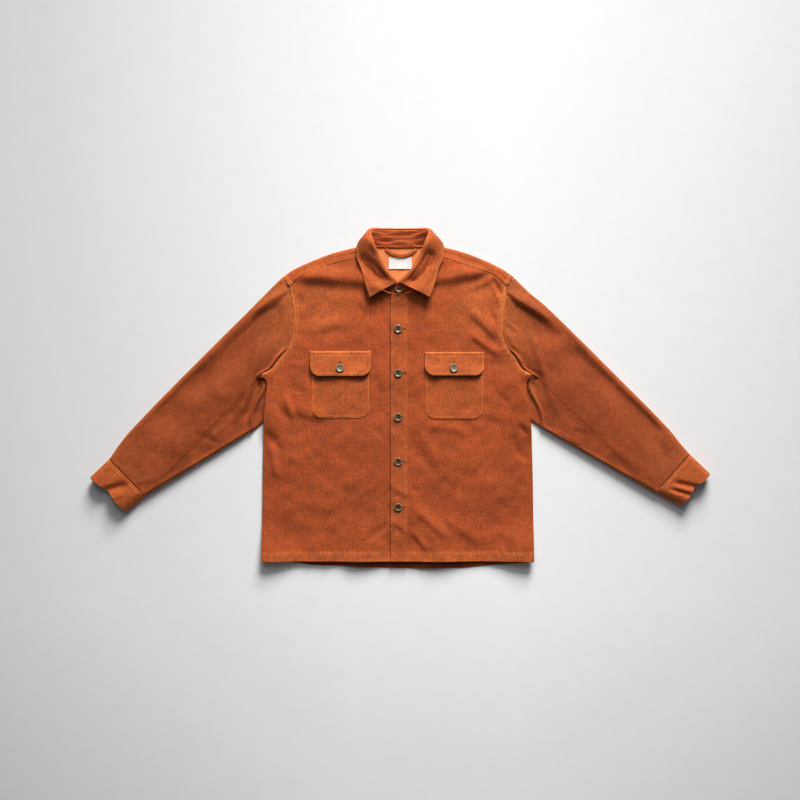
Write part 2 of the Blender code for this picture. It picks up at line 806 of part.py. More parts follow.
def build_button(name, x, y, seat):
    """Four-hole sewn-on button: a turned rim about a dished middle, cut by its holes."""
    bm = bmesh.new()
    verts = [bm.verts.new((point.radius, 0, point.z)) for point in BUTTON_PROFILE]
    edges = [bm.edges.new(pair) for pair in zip(verts, verts[1:])]
    bmesh.ops.spin(bm, geom=verts + edges, cent=(0, 0, 0), axis=(0, 0, 1), angle=2 * math.pi,
                   steps=BUTTON_SIDES, use_merge=True)
    bmesh.ops.remove_doubles(bm, verts=bm.verts[:], dist=0.001)
    bmesh.ops.recalc_face_normals(bm, faces=bm.faces[:])
    bmesh.ops.translate(bm, verts=bm.verts[:], vec=(x, y, seat + SEAM_GAP))
    button = finish(name, bm, bpy.data.materials["horn"])
    cut_holes(button, x, y, seat)
    return button


def cut_holes(button, x, y, seat):
    """Cut the four thread holes through a button."""
    bm = bmesh.new()
    for across in (-HOLE_OFFSET, HOLE_OFFSET):
        for along in (-HOLE_OFFSET, HOLE_OFFSET):
            made = bmesh.ops.create_cone(bm, cap_ends=True, segments=8, radius1=HOLE_RADIUS,
                                         radius2=HOLE_RADIUS, depth=4 * BUTTON_THICK)
            bmesh.ops.translate(bm, verts=made["verts"], vec=(x + across, y + along, seat))
    cutter = finish(button.name + "_holes", bm, bpy.data.materials["horn"])
    cutter.hide_render = True
    cutter.display_type = "WIRE"
    cut = button.modifiers.new("holes", "BOOLEAN")
    cut.operation = "DIFFERENCE"
    cut.object = cutter


def build_loop(look):
    """Hanger loop: a narrow strip that sags below the back of the neck."""
    span = LOOP_END_X - LOOP_START_X

    def place(column, row, face):
        share = column / LOOP_STEPS
        bow = 4 * share * (1 - share)
        slope = 4 * LOOP_SAG * (1 - 2 * share) / span
        run = math.hypot(1, slope)
        away = (row - 0.5) * LOOP_WIDTH
        x = LOOP_START_X + span * share + away * slope / run
        y = LOOP_TOP_Y - LOOP_SAG * bow + away / run
        return x, y, lift(x, y) + CLOTH + SEAM_GAP + LOOP_RISE * math.sqrt(bow) + LOOP_THICK * face

    return finish("hanger_loop", slab(LOOP_STEPS, 1, place), look)


def build_label(look):
    """Neck label, blank, sewn along its top and lifting a little at its lower edge."""

    def place(column, row, face):
        x = mix(LABEL_X[0], LABEL_X[1], column / LABEL_COLUMNS)
        y = mix(LABEL_Y[0], LABEL_Y[1], row / LABEL_ROWS)
        rise = LABEL_RISE * (1 - row / LABEL_ROWS) ** 2
        return x, y, lift(x, y) + CLOTH + SEAM_GAP + rise + LABEL_THICK * face

    return finish("label", slab(LABEL_COLUMNS, LABEL_ROWS, place), look)


def main():
    """Build the overshirt piece by piece."""
    clear_scene()
    corduroy = material("corduroy", CORDUROY, 0.9)
    inside = material("corduroy_inside", CORDUROY_INSIDE, 0.9)
    white = material("label_white", LABEL_WHITE, 0.8)
    material("horn", HORN, 0.35)
    build_back(corduroy)
    build_front(LEFT, "front_right", UNDER_INNER, corduroy)
    build_front(RIGHT, "front_left", OVER_INNER, corduroy)
    build_yoke(inside)
    build_sleeve(LEFT, "sleeve_right", corduroy)
    build_sleeve(RIGHT, "sleeve_left", corduroy)
    build_cuff(LEFT, "cuff_right", corduroy)
    build_cuff(RIGHT, "cuff_left", corduroy)
    build_stand(corduroy)
    build_leaf(corduroy)
    build_placket(corduroy)
    build_pockets(corduroy)
    for number, y in enumerate(BUTTON_Y, start=1):
        seat = front_under(RIGHT, 0.0, y) + CLOTH + SEAM_GAP + PLACKET_THICK
        build_button("button_%d" % number, 0.0, y, seat)
    neck_seat = COLLAR[0].top[2] + COLLAR[0].over
    build_button("button_neck", NECK_BUTTON[0], NECK_BUTTON[1], neck_seat)
    build_loop(inside)
    build_label(white)


main()
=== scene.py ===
"""Corduroy overshirt laid flat on its back: the looks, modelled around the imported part.

Lengths in the classes below are millimetres on the laid-out shirt: x from the button line towards
the wearer's left, y up from the front hem, z up from the floor. Meshes are stored in metres in the
part's own frame.
"""
import logging
import math
from dataclasses import dataclass, field
from enum import Enum, IntEnum
from typing import Callable, Optional, Sequence

import bmesh
import bpy
import numpy as np
from mathutils import Matrix, Vector


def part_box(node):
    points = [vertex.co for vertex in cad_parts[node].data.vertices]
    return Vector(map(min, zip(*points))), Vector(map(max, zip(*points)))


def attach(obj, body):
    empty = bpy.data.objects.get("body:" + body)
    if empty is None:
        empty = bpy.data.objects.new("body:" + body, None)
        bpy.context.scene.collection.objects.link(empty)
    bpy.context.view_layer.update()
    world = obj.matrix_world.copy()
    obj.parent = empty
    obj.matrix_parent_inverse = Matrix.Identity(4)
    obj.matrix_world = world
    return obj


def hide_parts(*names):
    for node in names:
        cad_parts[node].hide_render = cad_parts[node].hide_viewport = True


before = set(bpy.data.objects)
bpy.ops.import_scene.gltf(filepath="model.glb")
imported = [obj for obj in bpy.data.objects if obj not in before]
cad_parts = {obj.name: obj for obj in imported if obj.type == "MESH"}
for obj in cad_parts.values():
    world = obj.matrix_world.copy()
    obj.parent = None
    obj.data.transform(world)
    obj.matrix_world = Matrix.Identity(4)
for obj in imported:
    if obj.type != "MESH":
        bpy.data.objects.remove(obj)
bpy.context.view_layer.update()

Array = np.ndarray
Points = Sequence[tuple[float, float]]
Piece = bpy.types.Object
Mesh = bpy.types.Mesh
Material = bpy.types.Material
Tree = bpy.types.NodeTree
Node = bpy.types.Node
Socket = bpy.types.NodeSocket

MM = 0.001
BODY = "root"

# The cloth: an 8-wale corduroy, drawn with three grid lines to each wale
WALE = 3.4
WALE_STEP = WALE / 3
WALE_DEPTH = 0.6
CLOTH = 1.6
DOUBLE = 2.4
SEAM_GAP = 0.3
MERGE = 0.02
# How far from their seams the rows of topstitching run
ARMHOLE_ROWS = (2.6, 8.4)
YOKE_ROWS = (2.6, 8.2)
CUFF_ROWS = (4.0, 10.0)

log = logging.getLogger("overshirt")


class Side(IntEnum):
    """The wearer's sides, as signs of x."""

    RIGHT = -1
    LEFT = 1

    @property
    def word(self) -> str:
        """The side's name, as nodes have it."""
        return self.name.lower()


class Slot(Enum):
    """The record's material slots."""

    CORDUROY = "corduroy"
    HORN = "horn"
    LABEL = "label"


# ---- numbers

def smooth(share: Array) -> Array:
    """Ease from 0 to 1 with level ends."""
    share = np.clip(share, 0.0, 1.0)
    return share * share * (3 - 2 * share)


def mix(start: Array, end: Array, share: Array) -> Array:
    """A value part of the way between two others."""
    return start * (1 - share) + end * share


def rounding(distance: Array, width: Array) -> Array:
    """Quarter-ellipse edge: 0 on the edge, 1 from the given width inwards."""
    share = 1 - np.clip(distance / width, 0.0, 1.0)
    return np.sqrt(1 - share * share)


def bell(away: Array, width: Array) -> Array:
    """A soft bump: 1 in its middle, fading out with the distance from it."""
    return np.exp(-((away / width) ** 2))


def spots(*parts: Array) -> Array:
    """Points from their coordinates."""
    return np.stack(np.broadcast_arrays(*parts), axis=-1)


def hermite(start: Array, near: Array, end: Array, far: Array, share: Array) -> Array:
    """A cubic from start to end that leaves with the near slope and arrives with the far one."""
    square, cube = share ** 2, share ** 3
    return (start * (2 * cube - 3 * square + 1) + near * (cube - 2 * square + share)
            + end * (3 * square - 2 * cube) + far * (cube - square))


def unit(vectors: Array) -> Array:
    """Vectors at length one."""
    return vectors / np.maximum(np.linalg.norm(vectors, axis=-1, keepdims=True), 1e-9)


def lines(start: float, stop: float, step: float, fine: Sequence[tuple] = ()) -> Array:
    """Grid lines about a step apart, closer in the fine stretches.

    Args:
        start: first line.
        stop: last line.
        step: usual distance.
        fine: stretches as (from, to, step).

    Returns:
        The places of the lines, in rising order.
    """
    cuts = sorted({start, stop, *(c for a, b, _ in fine for c in (a, b) if start < c < stop)})
    places = [start]
    for low, high in zip(cuts, cuts[1:]):
        middle = (low + high) / 2
        here = min([step] + [s for a, b, s in fine if a <= middle <= b])
        count = max(1, round((high - low) / here))
        places.extend(np.linspace(low, high, count + 1)[1:])
    return np.array(places)


def wale_lines(start: float, stop: float, extra: Sequence[float] = ()) -> Array:
    """Grid lines that follow the wales between two places, with extra ones where asked."""
    first = math.ceil(start / WALE_STEP)
    last = math.floor(stop / WALE_STEP)
    fixed = [start, stop, *extra]
    free = [k * WALE_STEP for k in range(first, last + 1)]
    free = [x for x in free if min(abs(x - f) for f in fixed) > 0.25]
    return np.array(sorted(fixed + free))


def pile_at(place: Array) -> Array:
    """Height of the pile across the wales: 0 in a groove, 1 along the top of a rib."""
    phase = np.mod(place / WALE, 1.0)
    return np.interp(phase, (0, 1 / 3, 2 / 3, 1), (0, 1, 1, 0))


class Curve:
    """A smooth line through table points that never overshoots them."""

    def __init__(self, points: Points) -> None:
        """Work out the slopes.

        Args:
            points: (place, value) pairs in rising order of place.
        """
        self.at, self.value = (np.array(column, float) for column in zip(*points))
        run = np.diff(self.at)
        rise = np.diff(self.value) / run
        before, after = rise[:-1], rise[1:]
        near = 2 * run[1:] + run[:-1]
        far = run[1:] + 2 * run[:-1]
        same = before * after > 0
        slope = np.zeros(len(self.at))
        safe_before = np.where(same, before, 1.0)
        safe_after = np.where(same, after, 1.0)
        slope[1:-1] = np.where(same, (near + far) / (near / safe_before + far / safe_after), 0.0)
        slope[0], slope[-1] = rise[0], rise[-1]
        self.slope = slope

    def __call__(self, place: Array) -> Array:
        """Read the line at one or many places."""
        place = np.clip(place, self.at[0], self.at[-1])
        index = np.clip(np.searchsorted(self.at, place, "right") - 1, 0, len(self.at) - 2)
        run = self.at[index + 1] - self.at[index]
        share = (place - self.at[index]) / run
        return hermite(self.value[index], self.slope[index] * run,
                       self.value[index + 1], self.slope[index + 1] * run, share)


class Pair:
    """A table read on either side of the wearer."""

    def __init__(self, *rows: tuple[float, float, float]) -> None:
        """Draw both lines from rows of (place, wearer's right, wearer's left)."""
        place, right, left = zip(*rows)
        self.lines = {Side.RIGHT: Curve(zip(place, right)), Side.LEFT: Curve(zip(place, left))}

    def __getitem__(self, side: Side) -> Curve:
        """One side's line."""
        return self.lines[side]

    def __call__(self, x: Array, place: Optional[Array] = None) -> Array:
        """Read the line of the side that x lies on, at a place or at the distance out to x."""
        place = np.abs(x) if place is None else place
        return np.where(x < 0, self.lines[Side.RIGHT](place), self.lines[Side.LEFT](place))


class Ripple:
    """Seeded soft unevenness: many faint waves of nearly one length, in all directions."""

    def __init__(self, seed: int, length: float, count: int = 20) -> None:
        """Draw the waves.

        Args:
            seed: makes the same waves each time.
            length: wave length in millimetres.
            count: number of waves.
        """
        draw = np.random.default_rng(seed)
        angle = draw.uniform(0, 2 * math.pi, count)
        number = 2 * math.pi / (length * draw.uniform(0.7, 1.5, count))
        self.waves = np.cos(angle) * number, np.sin(angle) * number
        self.phase = draw.uniform(0, 2 * math.pi, count)
        self.scale = math.sqrt(2 / count)

    def __call__(self, x: Array, y: Array) -> Array:
        """Height of about -1 to 1 at places."""
        total = np.zeros(np.broadcast(x, y).shape)
        for wave_x, wave_y, phase in zip(*self.waves, self.phase):
            total += np.cos(wave_x * x + wave_y * y + phase)
        return total * self.scale


@dataclass(frozen=True)
class Crease:
    """A soft fold along a line: a ridge, or a trough where its height is negative.

    The reach counts on the right-hand side of the line, and back, where given, on its left.
    """

    x0: float
    y0: float
    x1: float
    y1: float
    reach: float
    height: float
    bow: float = 0.0
    fade: float = 0.3
    back: float = 0.0

    def field(self, x: Array, y: Array) -> Array:
        """Height of the fold at places."""
        run_x, run_y = self.x1 - self.x0, self.y1 - self.y0
        length = math.hypot(run_x, run_y)
        along = ((x - self.x0) * run_x + (y - self.y0) * run_y) / length ** 2
        across = ((x - self.x0) * run_y - (y - self.y0) * run_x) / length
        inside = np.clip(along, 0.0, 1.0)
        away = across - self.bow * 4 * inside * (1 - inside)
        away = np.abs(away) / np.where(away > 0, self.reach, self.back or self.reach)
        away = np.clip(away, 0.0, 1.0)
        shape = (1 - away) ** 2 * (1 + 2 * away)
        ends = smooth(along / self.fade) * smooth((1 - along) / self.fade)
        return self.height * shape * ends


def crease_sum(creases: Sequence[tuple], x: Array, y: Array) -> Array:
    """Height of several folds together, each given by a crease's sizes in order."""
    total = np.zeros(np.broadcast(x, y).shape)
    for crease in creases:
        total += Crease(*crease).field(x, y)
    return total


def hump_sum(humps: Sequence[tuple], x: Array, y: Array) -> Array:
    """Height of round-ended humps, given as (x0, y0, x1, y1, reach, height)."""
    total = np.zeros(np.broadcast(x, y).shape)
    for x0, y0, x1, y1, reach, height in humps:
        run_x, run_y = x1 - x0, y1 - y0
        square = run_x ** 2 + run_y ** 2
        along = np.zeros_like(total)
        if square > 0:
            along = np.clip(((x - x0) * run_x + (y - y0) * run_y) / square, 0.0, 1.0)
        away = np.hypot(x - x0 - run_x * along, y - y0 - run_y * along) / reach
        total += height * (1 - np.clip(away, 0.0, 1.0) ** 2) ** 2
    return total


@dataclass
class Route:
    """A line on the cloth's plan, such as a row of stitches or a seam."""

    points: Array

    def __post_init__(self) -> None:
        """Work out how far along each point is."""
        self.points = np.array(self.points, float)
        steps = np.linalg.norm(np.diff(self.points, axis=0), axis=1)
        self.along = np.concatenate([[0.0], np.cumsum(steps)])

    def nearest(self, x: Array, y: Array) -> tuple[Array, Array]:
        """Distance from the line, and how far along it, at places.

        Args:
            x: places across.
            y: places up.

        Returns:
            The distance and the length along the line.
        """
        best = np.full(np.broadcast(x, y).shape, np.inf)
        where = np.zeros_like(best)
        for start, end, begun in zip(self.points, self.points[1:], self.along):
            run = end[:2] - start[:2]
            length = max(float(np.hypot(*run)), 1e-6)
            share = np.clip(((x - start[0]) * run[0] + (y - start[1]) * run[1]) / length ** 2, 0, 1)
            away = np.hypot(x - start[0] - run[0] * share, y - start[1] - run[1] * share)
            nearer = away < best
            best = np.where(nearer, away, best)
            where = np.where(nearer, begun + share * length, where)
        return best, where

    def every(self, step: float) -> Array:
        """Points a step apart along the line."""
        count = max(2, int(self.along[-1] / step) + 1)
        at = np.linspace(0, self.along[-1], count)
        return np.stack([np.interp(at, self.along, column) for column in self.points.T], axis=-1)


@dataclass(frozen=True)
class Topstitch:
    """What a row of topstitching does to the cloth beside it."""

    sink: float = 0.55
    width: float = 1.5
    pucker: float = 0.35
    wave: float = 15.0
    spread: float = 7.0

    def field(self, route: Route, x: Array, y: Array) -> Array:
        """Height that the stitching adds at places."""
        away, along = route.nearest(x, y)
        groove = -self.sink * bell(away, self.width)
        turns = 2 * math.pi * along
        uneven = np.sin(turns / self.wave) + np.sin(turns / (self.wave * 1.7) + 1)
        return groove + self.pucker * 0.5 * uneven * bell(away, self.spread)


# ---- the laid-out form

@dataclass
class Lay:
    """How the layers of the laid-out body lie on each other and on the floor."""

    armpit_y: float = 413.0
    layer_gap: float = 3.0
    edge_gap: float = 0.6
    edge_round: float = 11.0
    placket_edge: float = -17.0
    under_edge: float = 17.0
    armhole_least: float = 231.0
    straight_y: float = 562.0
    hem_band: float = 20.0
    under_dip: float = 2.1
    least_air: float = 0.5
    # rows of (place, wearer's right, wearer's left)
    side_seam: Pair = Pair(
        (-20, 303, 301), (0, 303, 301), (150, 302, 300), (270, 300, 297), (345, 296, 291), (395, 291, 284),
        (404, 294, 287), (413, 303.5, 296), (428, 282, 275), (453, 263, 260), (478, 243, 241),
        (518, 233, 231), (562, 231, 230), (590, 235, 232), (610, 241, 240), (632, 258, 257),
    )
    shoulder: Pair = Pair(
        (0, 697, 697), (40, 697.5, 697.5), (60, 699, 699), (78, 703, 704), (94, 699, 701), (145, 686, 688),
        (190, 669, 671), (235, 648, 649), (258, 632, 633),
    )
    front_seam: Pair = Pair(
        (0, 595, 595), (20, 597, 597), (40, 607, 606), (58, 627, 624), (70, 652, 648), (78, 678, 680),
        (96, 674, 677), (139, 664.5, 664), (177, 653, 652), (214, 636, 637), (242, 611, 612),
    )
    back_hem: Pair = Pair(
        (0, -15, -15), (75, -13, -15), (130, -10, -15), (180, -9, -11), (245, -1, -5), (303, 0, 0),
    )
    lifts: tuple = (
        (-303, 0, -303, 0, 100, 15), (301, 0, 301, 0, 100, 15),
        (-87, -20, -87, 50, 50, 5), (72, -20, 72, 50, 50, 5),
        (-299, 395, -299, 325, 75, 11), (293, 395, 293, 325, 75, 11),
        (-300, 416, -300, 416, 26, 4.5), (293, 416, 293, 416, 26, 4.5),
        (-35, 700, 35, 700, 55, 3),
    )
    swells: tuple = (
        (-88, 664, -222, 632, 36, 3.5), (94, 666, 222, 634, 36, 3.5),
        (-66, 646, -10, 600, 40, 3), (66, 646, 10, 600, 40, 3),
    )
    creases: tuple = (
        # under the yoke, where each front swells and then drops
        (-236, 636, -20, 622, 20, 8.5, 0, 0.2, 32), (-214, 612, -50, 600, 22, -1.8),
        (16, 620, 208, 648, 18, 8.5, 3, 0.2, 30), (158, 602, 212, 631, 10, 4.0, 0, 0.35, 15),
        (206, 632, 234, 584, 9, -3.4), (210, 622, 226, 576, 9, 2.6),
        # drags from the armholes
        (192, 574, 220, 526, 9, -2.0), (146, 568, 226, 492, 14, 5.0, -2, 0.3, 24),
        (156, 512, 234, 456, 13, 4.4, 3, 0.3, 16), (196, 441, 250, 437, 10, -2.0),
        (-208, 510, -112, 533, 17, 3.0, 0, 0.3, 26), (-246, 452, -206, 446, 10, -1.8),
        (-236, 582, -226, 500, 12, 2.0), (-282, 392, -262, 412, 7, 1.6), (-250, 390, -202, 372, 13, -2.4),
        (-256, 380, -229, 308, 13, 4.5), (-278, 362, -246, 308, 12, -2.6),
        (-238, 340, -150, 314, 18, 4.5, 0, 0.3, 26), (-316, 292, -260, 232, 12, -4.6, -12),
        (-288, 274, -264, 170, 14, 3.6), (214, 375, 250, 350, 10, -2.6), (178, 319, 238, 302, 13, -2.6),
        (262, 306, 296, 276, 9, -3.6), (256, 284, 264, 232, 11, -2.2), (258, 244, 292, 224, 11, -2.8),
        (278, 268, 306, 266, 6, -2.2), (280, 372, 292, 316, 7, 2.2),
        # below the pockets and down to the hem
        (46, 303, 164, 290, 16, 3.4, 0, 0.3, 18), (20, 274, 84, 190, 17, -2.4),
        (46, 290, 96, 214, 16, 1.8), (22, 128, 120, 46, 14, 5.2, 0, 0.3, 24),
        (92, 106, 196, 32, 17, 3.8, 0, 0.3, 26), (24, 76, 68, 22, 10, 3.6, 0, 0.3, 15),
        (-16, 96, 30, 56, 11, 2.4, 0, 0.3, 14), (-18, 164, 50, 138, 11, 2.0, 0, 0.3, 14),
        (-19.5, -60, -19.5, 640, 6, -1.5, 0, 0.02, 2.5), (-76, 44, -14, 86, 12, -3.0),
        (-80, 152, -18, 122, 13, -2.0), (-62, 300, -18, 262, 12, -1.6), (-44, 600, -22, 512, 11, -2.6),
        (-96, 596, -60, 556, 16, 2.0), (-60, 420, -34, 352, 16, -1.6), (96, 184, 116, 166, 9, -1.6),
        (-180, 232, -104, 196, 24, 2.0), (-236, 120, -150, 84, 26, -1.8), (176, 196, 246, 150, 24, 1.8),
    )

    def __post_init__(self) -> None:
        """Draw the soft unevenness of the fronts."""
        self.wander = Ripple(3, 120)
        self.flutter = Ripple(8, 42)

    def lift(self, x: Array, y: Array) -> Array:
        """Underside of the lower layer above the floor."""
        return hump_sum(self.lifts, x, y)

    def gap(self, x: Array, y: Array) -> Array:
        """Air between the two layers of the body."""
        mouth = np.clip(1 - np.maximum(y, 0.0) / 90, 0.0, 1.0)
        across = np.clip(1 - (x / 300) ** 2, 0.0, 1.0)
        return self.layer_gap + 7.5 * mouth ** 2 * across + hump_sum(self.swells, x, y)

    def closing(self, x: Array, y: Array) -> Array:
        """How far each layer turns towards the other at the side seam."""
        away = self.side_seam(x, y) - np.abs(x)
        seam = 1 - smooth((y - self.armpit_y) / 20)
        return (self.gap(x, y) - self.edge_gap) / 2 * (1 - rounding(away, self.edge_round)) * seam

    def back_under(self, x: Array, y: Array) -> Array:
        """Underside of the back."""
        return self.lift(x, y) + self.closing(x, y)

    def folds(self, x: Array, y: Array) -> Array:
        """Height of the fronts' creases, easing off towards the side seams."""
        away = self.side_seam(x, y) - np.abs(x)
        soft = 1.0 * self.wander(x, y) + 0.4 * self.flutter(x, y)
        return (crease_sum(self.creases, x, y) + soft) * smooth((away + 3) / 18)

    def front_under(self, side: Side, x: Array, y: Array) -> Array:
        """Underside of a front; the wearer's right one dips to pass under the placket."""
        air = self.gap(x, y) + self.folds(x, y)
        if side == Side.RIGHT:
            air = air - self.under_dip * smooth((x + 46) / 24)
        closing = self.closing(x, y)
        free = np.logaddexp(0.0, (air - 2 * closing - self.least_air) * 2) / 2 + self.least_air
        return self.lift(x, y) + CLOTH + closing + free

    def front_top(self, x: Array, y: Array) -> Array:
        """Outer face of the fronts."""
        right = self.front_under(Side.RIGHT, x, y)
        left = self.front_under(Side.LEFT, x, y)
        return np.where(x < self.placket_edge, right, left) + CLOTH

    def armhole_y(self, side: Side, out: Array) -> Array:
        """Height at which the armhole crosses a line that runs up the front."""
        up = np.linspace(self.armpit_y, self.straight_y, 120)
        across = self.side_seam[side](up)
        return np.interp(out, across[::-1], up[::-1])

    def armhole_route(self, side: Side, inset: float, low: float = 0.0) -> Route:
        """A line beside the armhole, on the body, from below the armpit to the yoke.

        Args:
            side: the wearer's side.
            inset: distance in from the seam.
            low: how far above the armpit the line starts.

        Returns:
            The line.
        """
        y = np.linspace(self.armpit_y + 4 + low, 612, 60)
        seam = spots(side * self.side_seam[side](y), y)
        along = unit(np.gradient(seam, axis=0))
        inwards = spots(-along[:, 1], along[:, 0]) * int(side)
        return Route(seam + inwards * inset)


LAY = Lay()


# ---- mesh making

@dataclass
class Surface:
    """A grid of points, with how much pile and wear each one has."""

    points: Array
    pile: Array
    wear_and_highlight: Array

    @staticmethod
    def of(x: Array, y: Array, z: Array, pile: Array, wear_and_highlight: Array = 0.0) -> "Surface":
        """Gather coordinates into a surface."""
        x, y, z, pile, wear_and_highlight = np.broadcast_arrays(x, y, z, pile, wear_and_highlight)
        return Surface(spots(x, y, z).astype(float), pile.astype(float), wear_and_highlight.astype(float))

    def normals(self) -> Array:
        """Directions square to the surface."""
        return unit(np.cross(np.gradient(self.points, axis=0), np.gradient(self.points, axis=1)))

    def moved(self, distance: Array, normals: Optional[Array] = None) -> "Surface":
        """The surface pushed out along its normals."""
        away = self.normals() if normals is None else normals
        return Surface(self.points + away * np.asarray(distance)[..., None], self.pile, self.wear_and_highlight)

    def line(self, columns: Array, rows: Array) -> Array:
        """Points at grid places between the corners.

        Args:
            columns: places counted in columns.
            rows: places counted in rows.

        Returns:
            One point for each pair of places.
        """
        last_column, last_row = self.points.shape[0] - 1, self.points.shape[1] - 1
        columns = np.clip(columns, 0, last_column)
        rows = np.clip(rows, 0, last_row)
        c = np.minimum(columns.astype(int), last_column - 1)
        r = np.minimum(rows.astype(int), last_row - 1)
        u, v = (columns - c)[:, None], (rows - r)[:, None]
        near = mix(self.points[c, r], self.points[c, r + 1], v)
        far = mix(self.points[c + 1, r], self.points[c + 1, r + 1], v)
        return mix(near, far, u)


class Origin:
    """Where the layout's zero lies in the part's frame, read from the first front button."""

    def __init__(self, node: str, place: tuple[float, float]) -> None:
        """Measure a node.

        Args:
            node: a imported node.
            place: the middle of that node on the layout, in millimetres.
        """
        low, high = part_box(node)
        middle = (low + high) / 2
        self.shift = np.array((middle.x - place[0] * MM, middle.y - place[1] * MM, 0.0))

    def metres(self, points: Array) -> Array:
        """Layout millimetres as metres in the part's frame."""
        return points * MM + self.shift


ORIGIN = Origin("button_1", (0.0, 517.0))


def grid_mesh(columns: int, rows: int) -> bmesh.types.BMesh:
    """A flat grid whose corners lie at their column and row numbers."""
    bm = bmesh.new()
    bmesh.ops.create_grid(bm, x_segments=columns, y_segments=rows, size=0.5)
    bmesh.ops.translate(bm, verts=bm.verts[:], vec=(0.5, 0.5, 0))
    bmesh.ops.scale(bm, verts=bm.verts[:], vec=(columns, rows, 1))
    return bm


def to_mesh(bm: bmesh.types.BMesh, name: str) -> Mesh:
    """Turn a finished bmesh into a mesh."""
    mesh = bpy.data.meshes.new(name)
    bm.to_mesh(mesh)
    bm.free()
    return mesh


def set_points(mesh: Mesh, points: Array, pile: Array, wear_and_highlight: Array) -> None:
    """Give a mesh its places, in metres, and its pile and wear attributes."""
    mesh.vertices.foreach_set("co", ORIGIN.metres(points).astype(np.float32).ravel())
    for name, values in (("pile", pile), ("wear_and_highlight", wear_and_highlight)):
        attribute = mesh.attributes.new(name, "FLOAT", "POINT")
        attribute.data.foreach_set("value", np.clip(values, 0, 1).astype(np.float32))


def numbers(mesh: Mesh) -> tuple[Array, Array, Array]:
    """Column, row and level of a grid mesh's corners."""
    flat = np.zeros(len(mesh.vertices) * 3, np.float32)
    mesh.vertices.foreach_get("co", flat)
    flat = flat.reshape(-1, 3)
    return np.rint(flat[:, 0]).astype(int), np.rint(flat[:, 1]).astype(int), flat[:, 2]


def seal(mesh: Mesh, upward: bool = False) -> None:
    """Merge meeting corners and turn every face outwards.

    Args:
        mesh: the mesh to finish.
        upward: the shell is open, and its highest face looks up.
    """
    bm = bmesh.new()
    bm.from_mesh(mesh)
    bmesh.ops.remove_doubles(bm, verts=bm.verts[:], dist=MERGE * MM)
    bmesh.ops.dissolve_degenerate(bm, edges=bm.edges[:], dist=MERGE * MM / 4)
    bmesh.ops.recalc_face_normals(bm, faces=bm.faces[:])
    if upward:
        highest = max(bm.faces, key=lambda face: face.calc_center_median().z)
        wrong = highest.normal.z < 0
    else:
        wrong = bm.calc_volume(signed=True) < 0
    if wrong:
        bmesh.ops.reverse_faces(bm, faces=bm.faces[:])
    bm.to_mesh(mesh)
    bm.free()
    mesh.shade_smooth()
    mesh.set_sharp_from_angle(angle=math.radians(62))


def slab(name: str, outer: Surface, inner: Surface, keep: Optional[Callable] = None) -> Piece:
    """A cloth wall between two surfaces.

    Args:
        name: the piece's name.
        outer: the face with the pile.
        inner: the other face, on the second material.
        keep: tells from (column, row) whether a square of the grid is cloth.

    Returns:
        The piece.
    """
    columns, rows = (count - 1 for count in outer.pile.shape)
    bm = grid_mesh(columns, rows)
    if keep:
        spare = [f for f in bm.faces if not keep(*f.calc_center_median().xy)]
        bmesh.ops.delete(bm, geom=spare, context="FACES")
    bmesh.ops.solidify(bm, geom=bm.faces[:], thickness=1.0)
    for face in bm.faces:
        face.material_index = int(all(abs(v.co.z) > 0.5 for v in face.verts))
    mesh = to_mesh(bm, name)
    column, row, level = numbers(mesh)
    back = np.abs(level) > 0.5
    points = np.where(back[:, None], inner.points[column, row], outer.points[column, row])
    pile = np.where(back, inner.pile[column, row], outer.pile[column, row])
    wear_and_highlight = np.where(back, inner.wear_and_highlight[column, row], outer.wear_and_highlight[column, row])
    set_points(mesh, points, pile, wear_and_highlight)
    seal(mesh)
    return add_object(name, mesh)


def tube(name: str, outer: Surface, wall: float) -> Piece:
    """A tube of cloth from its outer face, whose meeting edges are sewn together.

    Args:
        name: the piece's name.
        outer: the outer face, with its first and last columns on each other.
        wall: thickness of the cloth, which goes inwards.

    Returns:
        The piece.
    """
    columns, rows = (count - 1 for count in outer.pile.shape)
    bm = grid_mesh(columns, rows)
    mesh = to_mesh(bm, name)
    column, row, _ = numbers(mesh)
    set_points(mesh, outer.points[column, row], outer.pile[column, row], outer.wear_and_highlight[column, row])
    seal(mesh, upward=True)
    piece = add_object(name, mesh)
    solid = piece.modifiers.new("wall", "SOLIDIFY")
    solid.thickness = wall * MM
    solid.offset = -1.0
    solid.material_offset = 1
    return piece


def add_object(name: str, data: bpy.types.ID) -> Piece:
    """Put a mesh, a lamp or a camera into the scene."""
    piece = bpy.data.objects.new(name, data)
    bpy.context.scene.collection.objects.link(piece)
    return piece


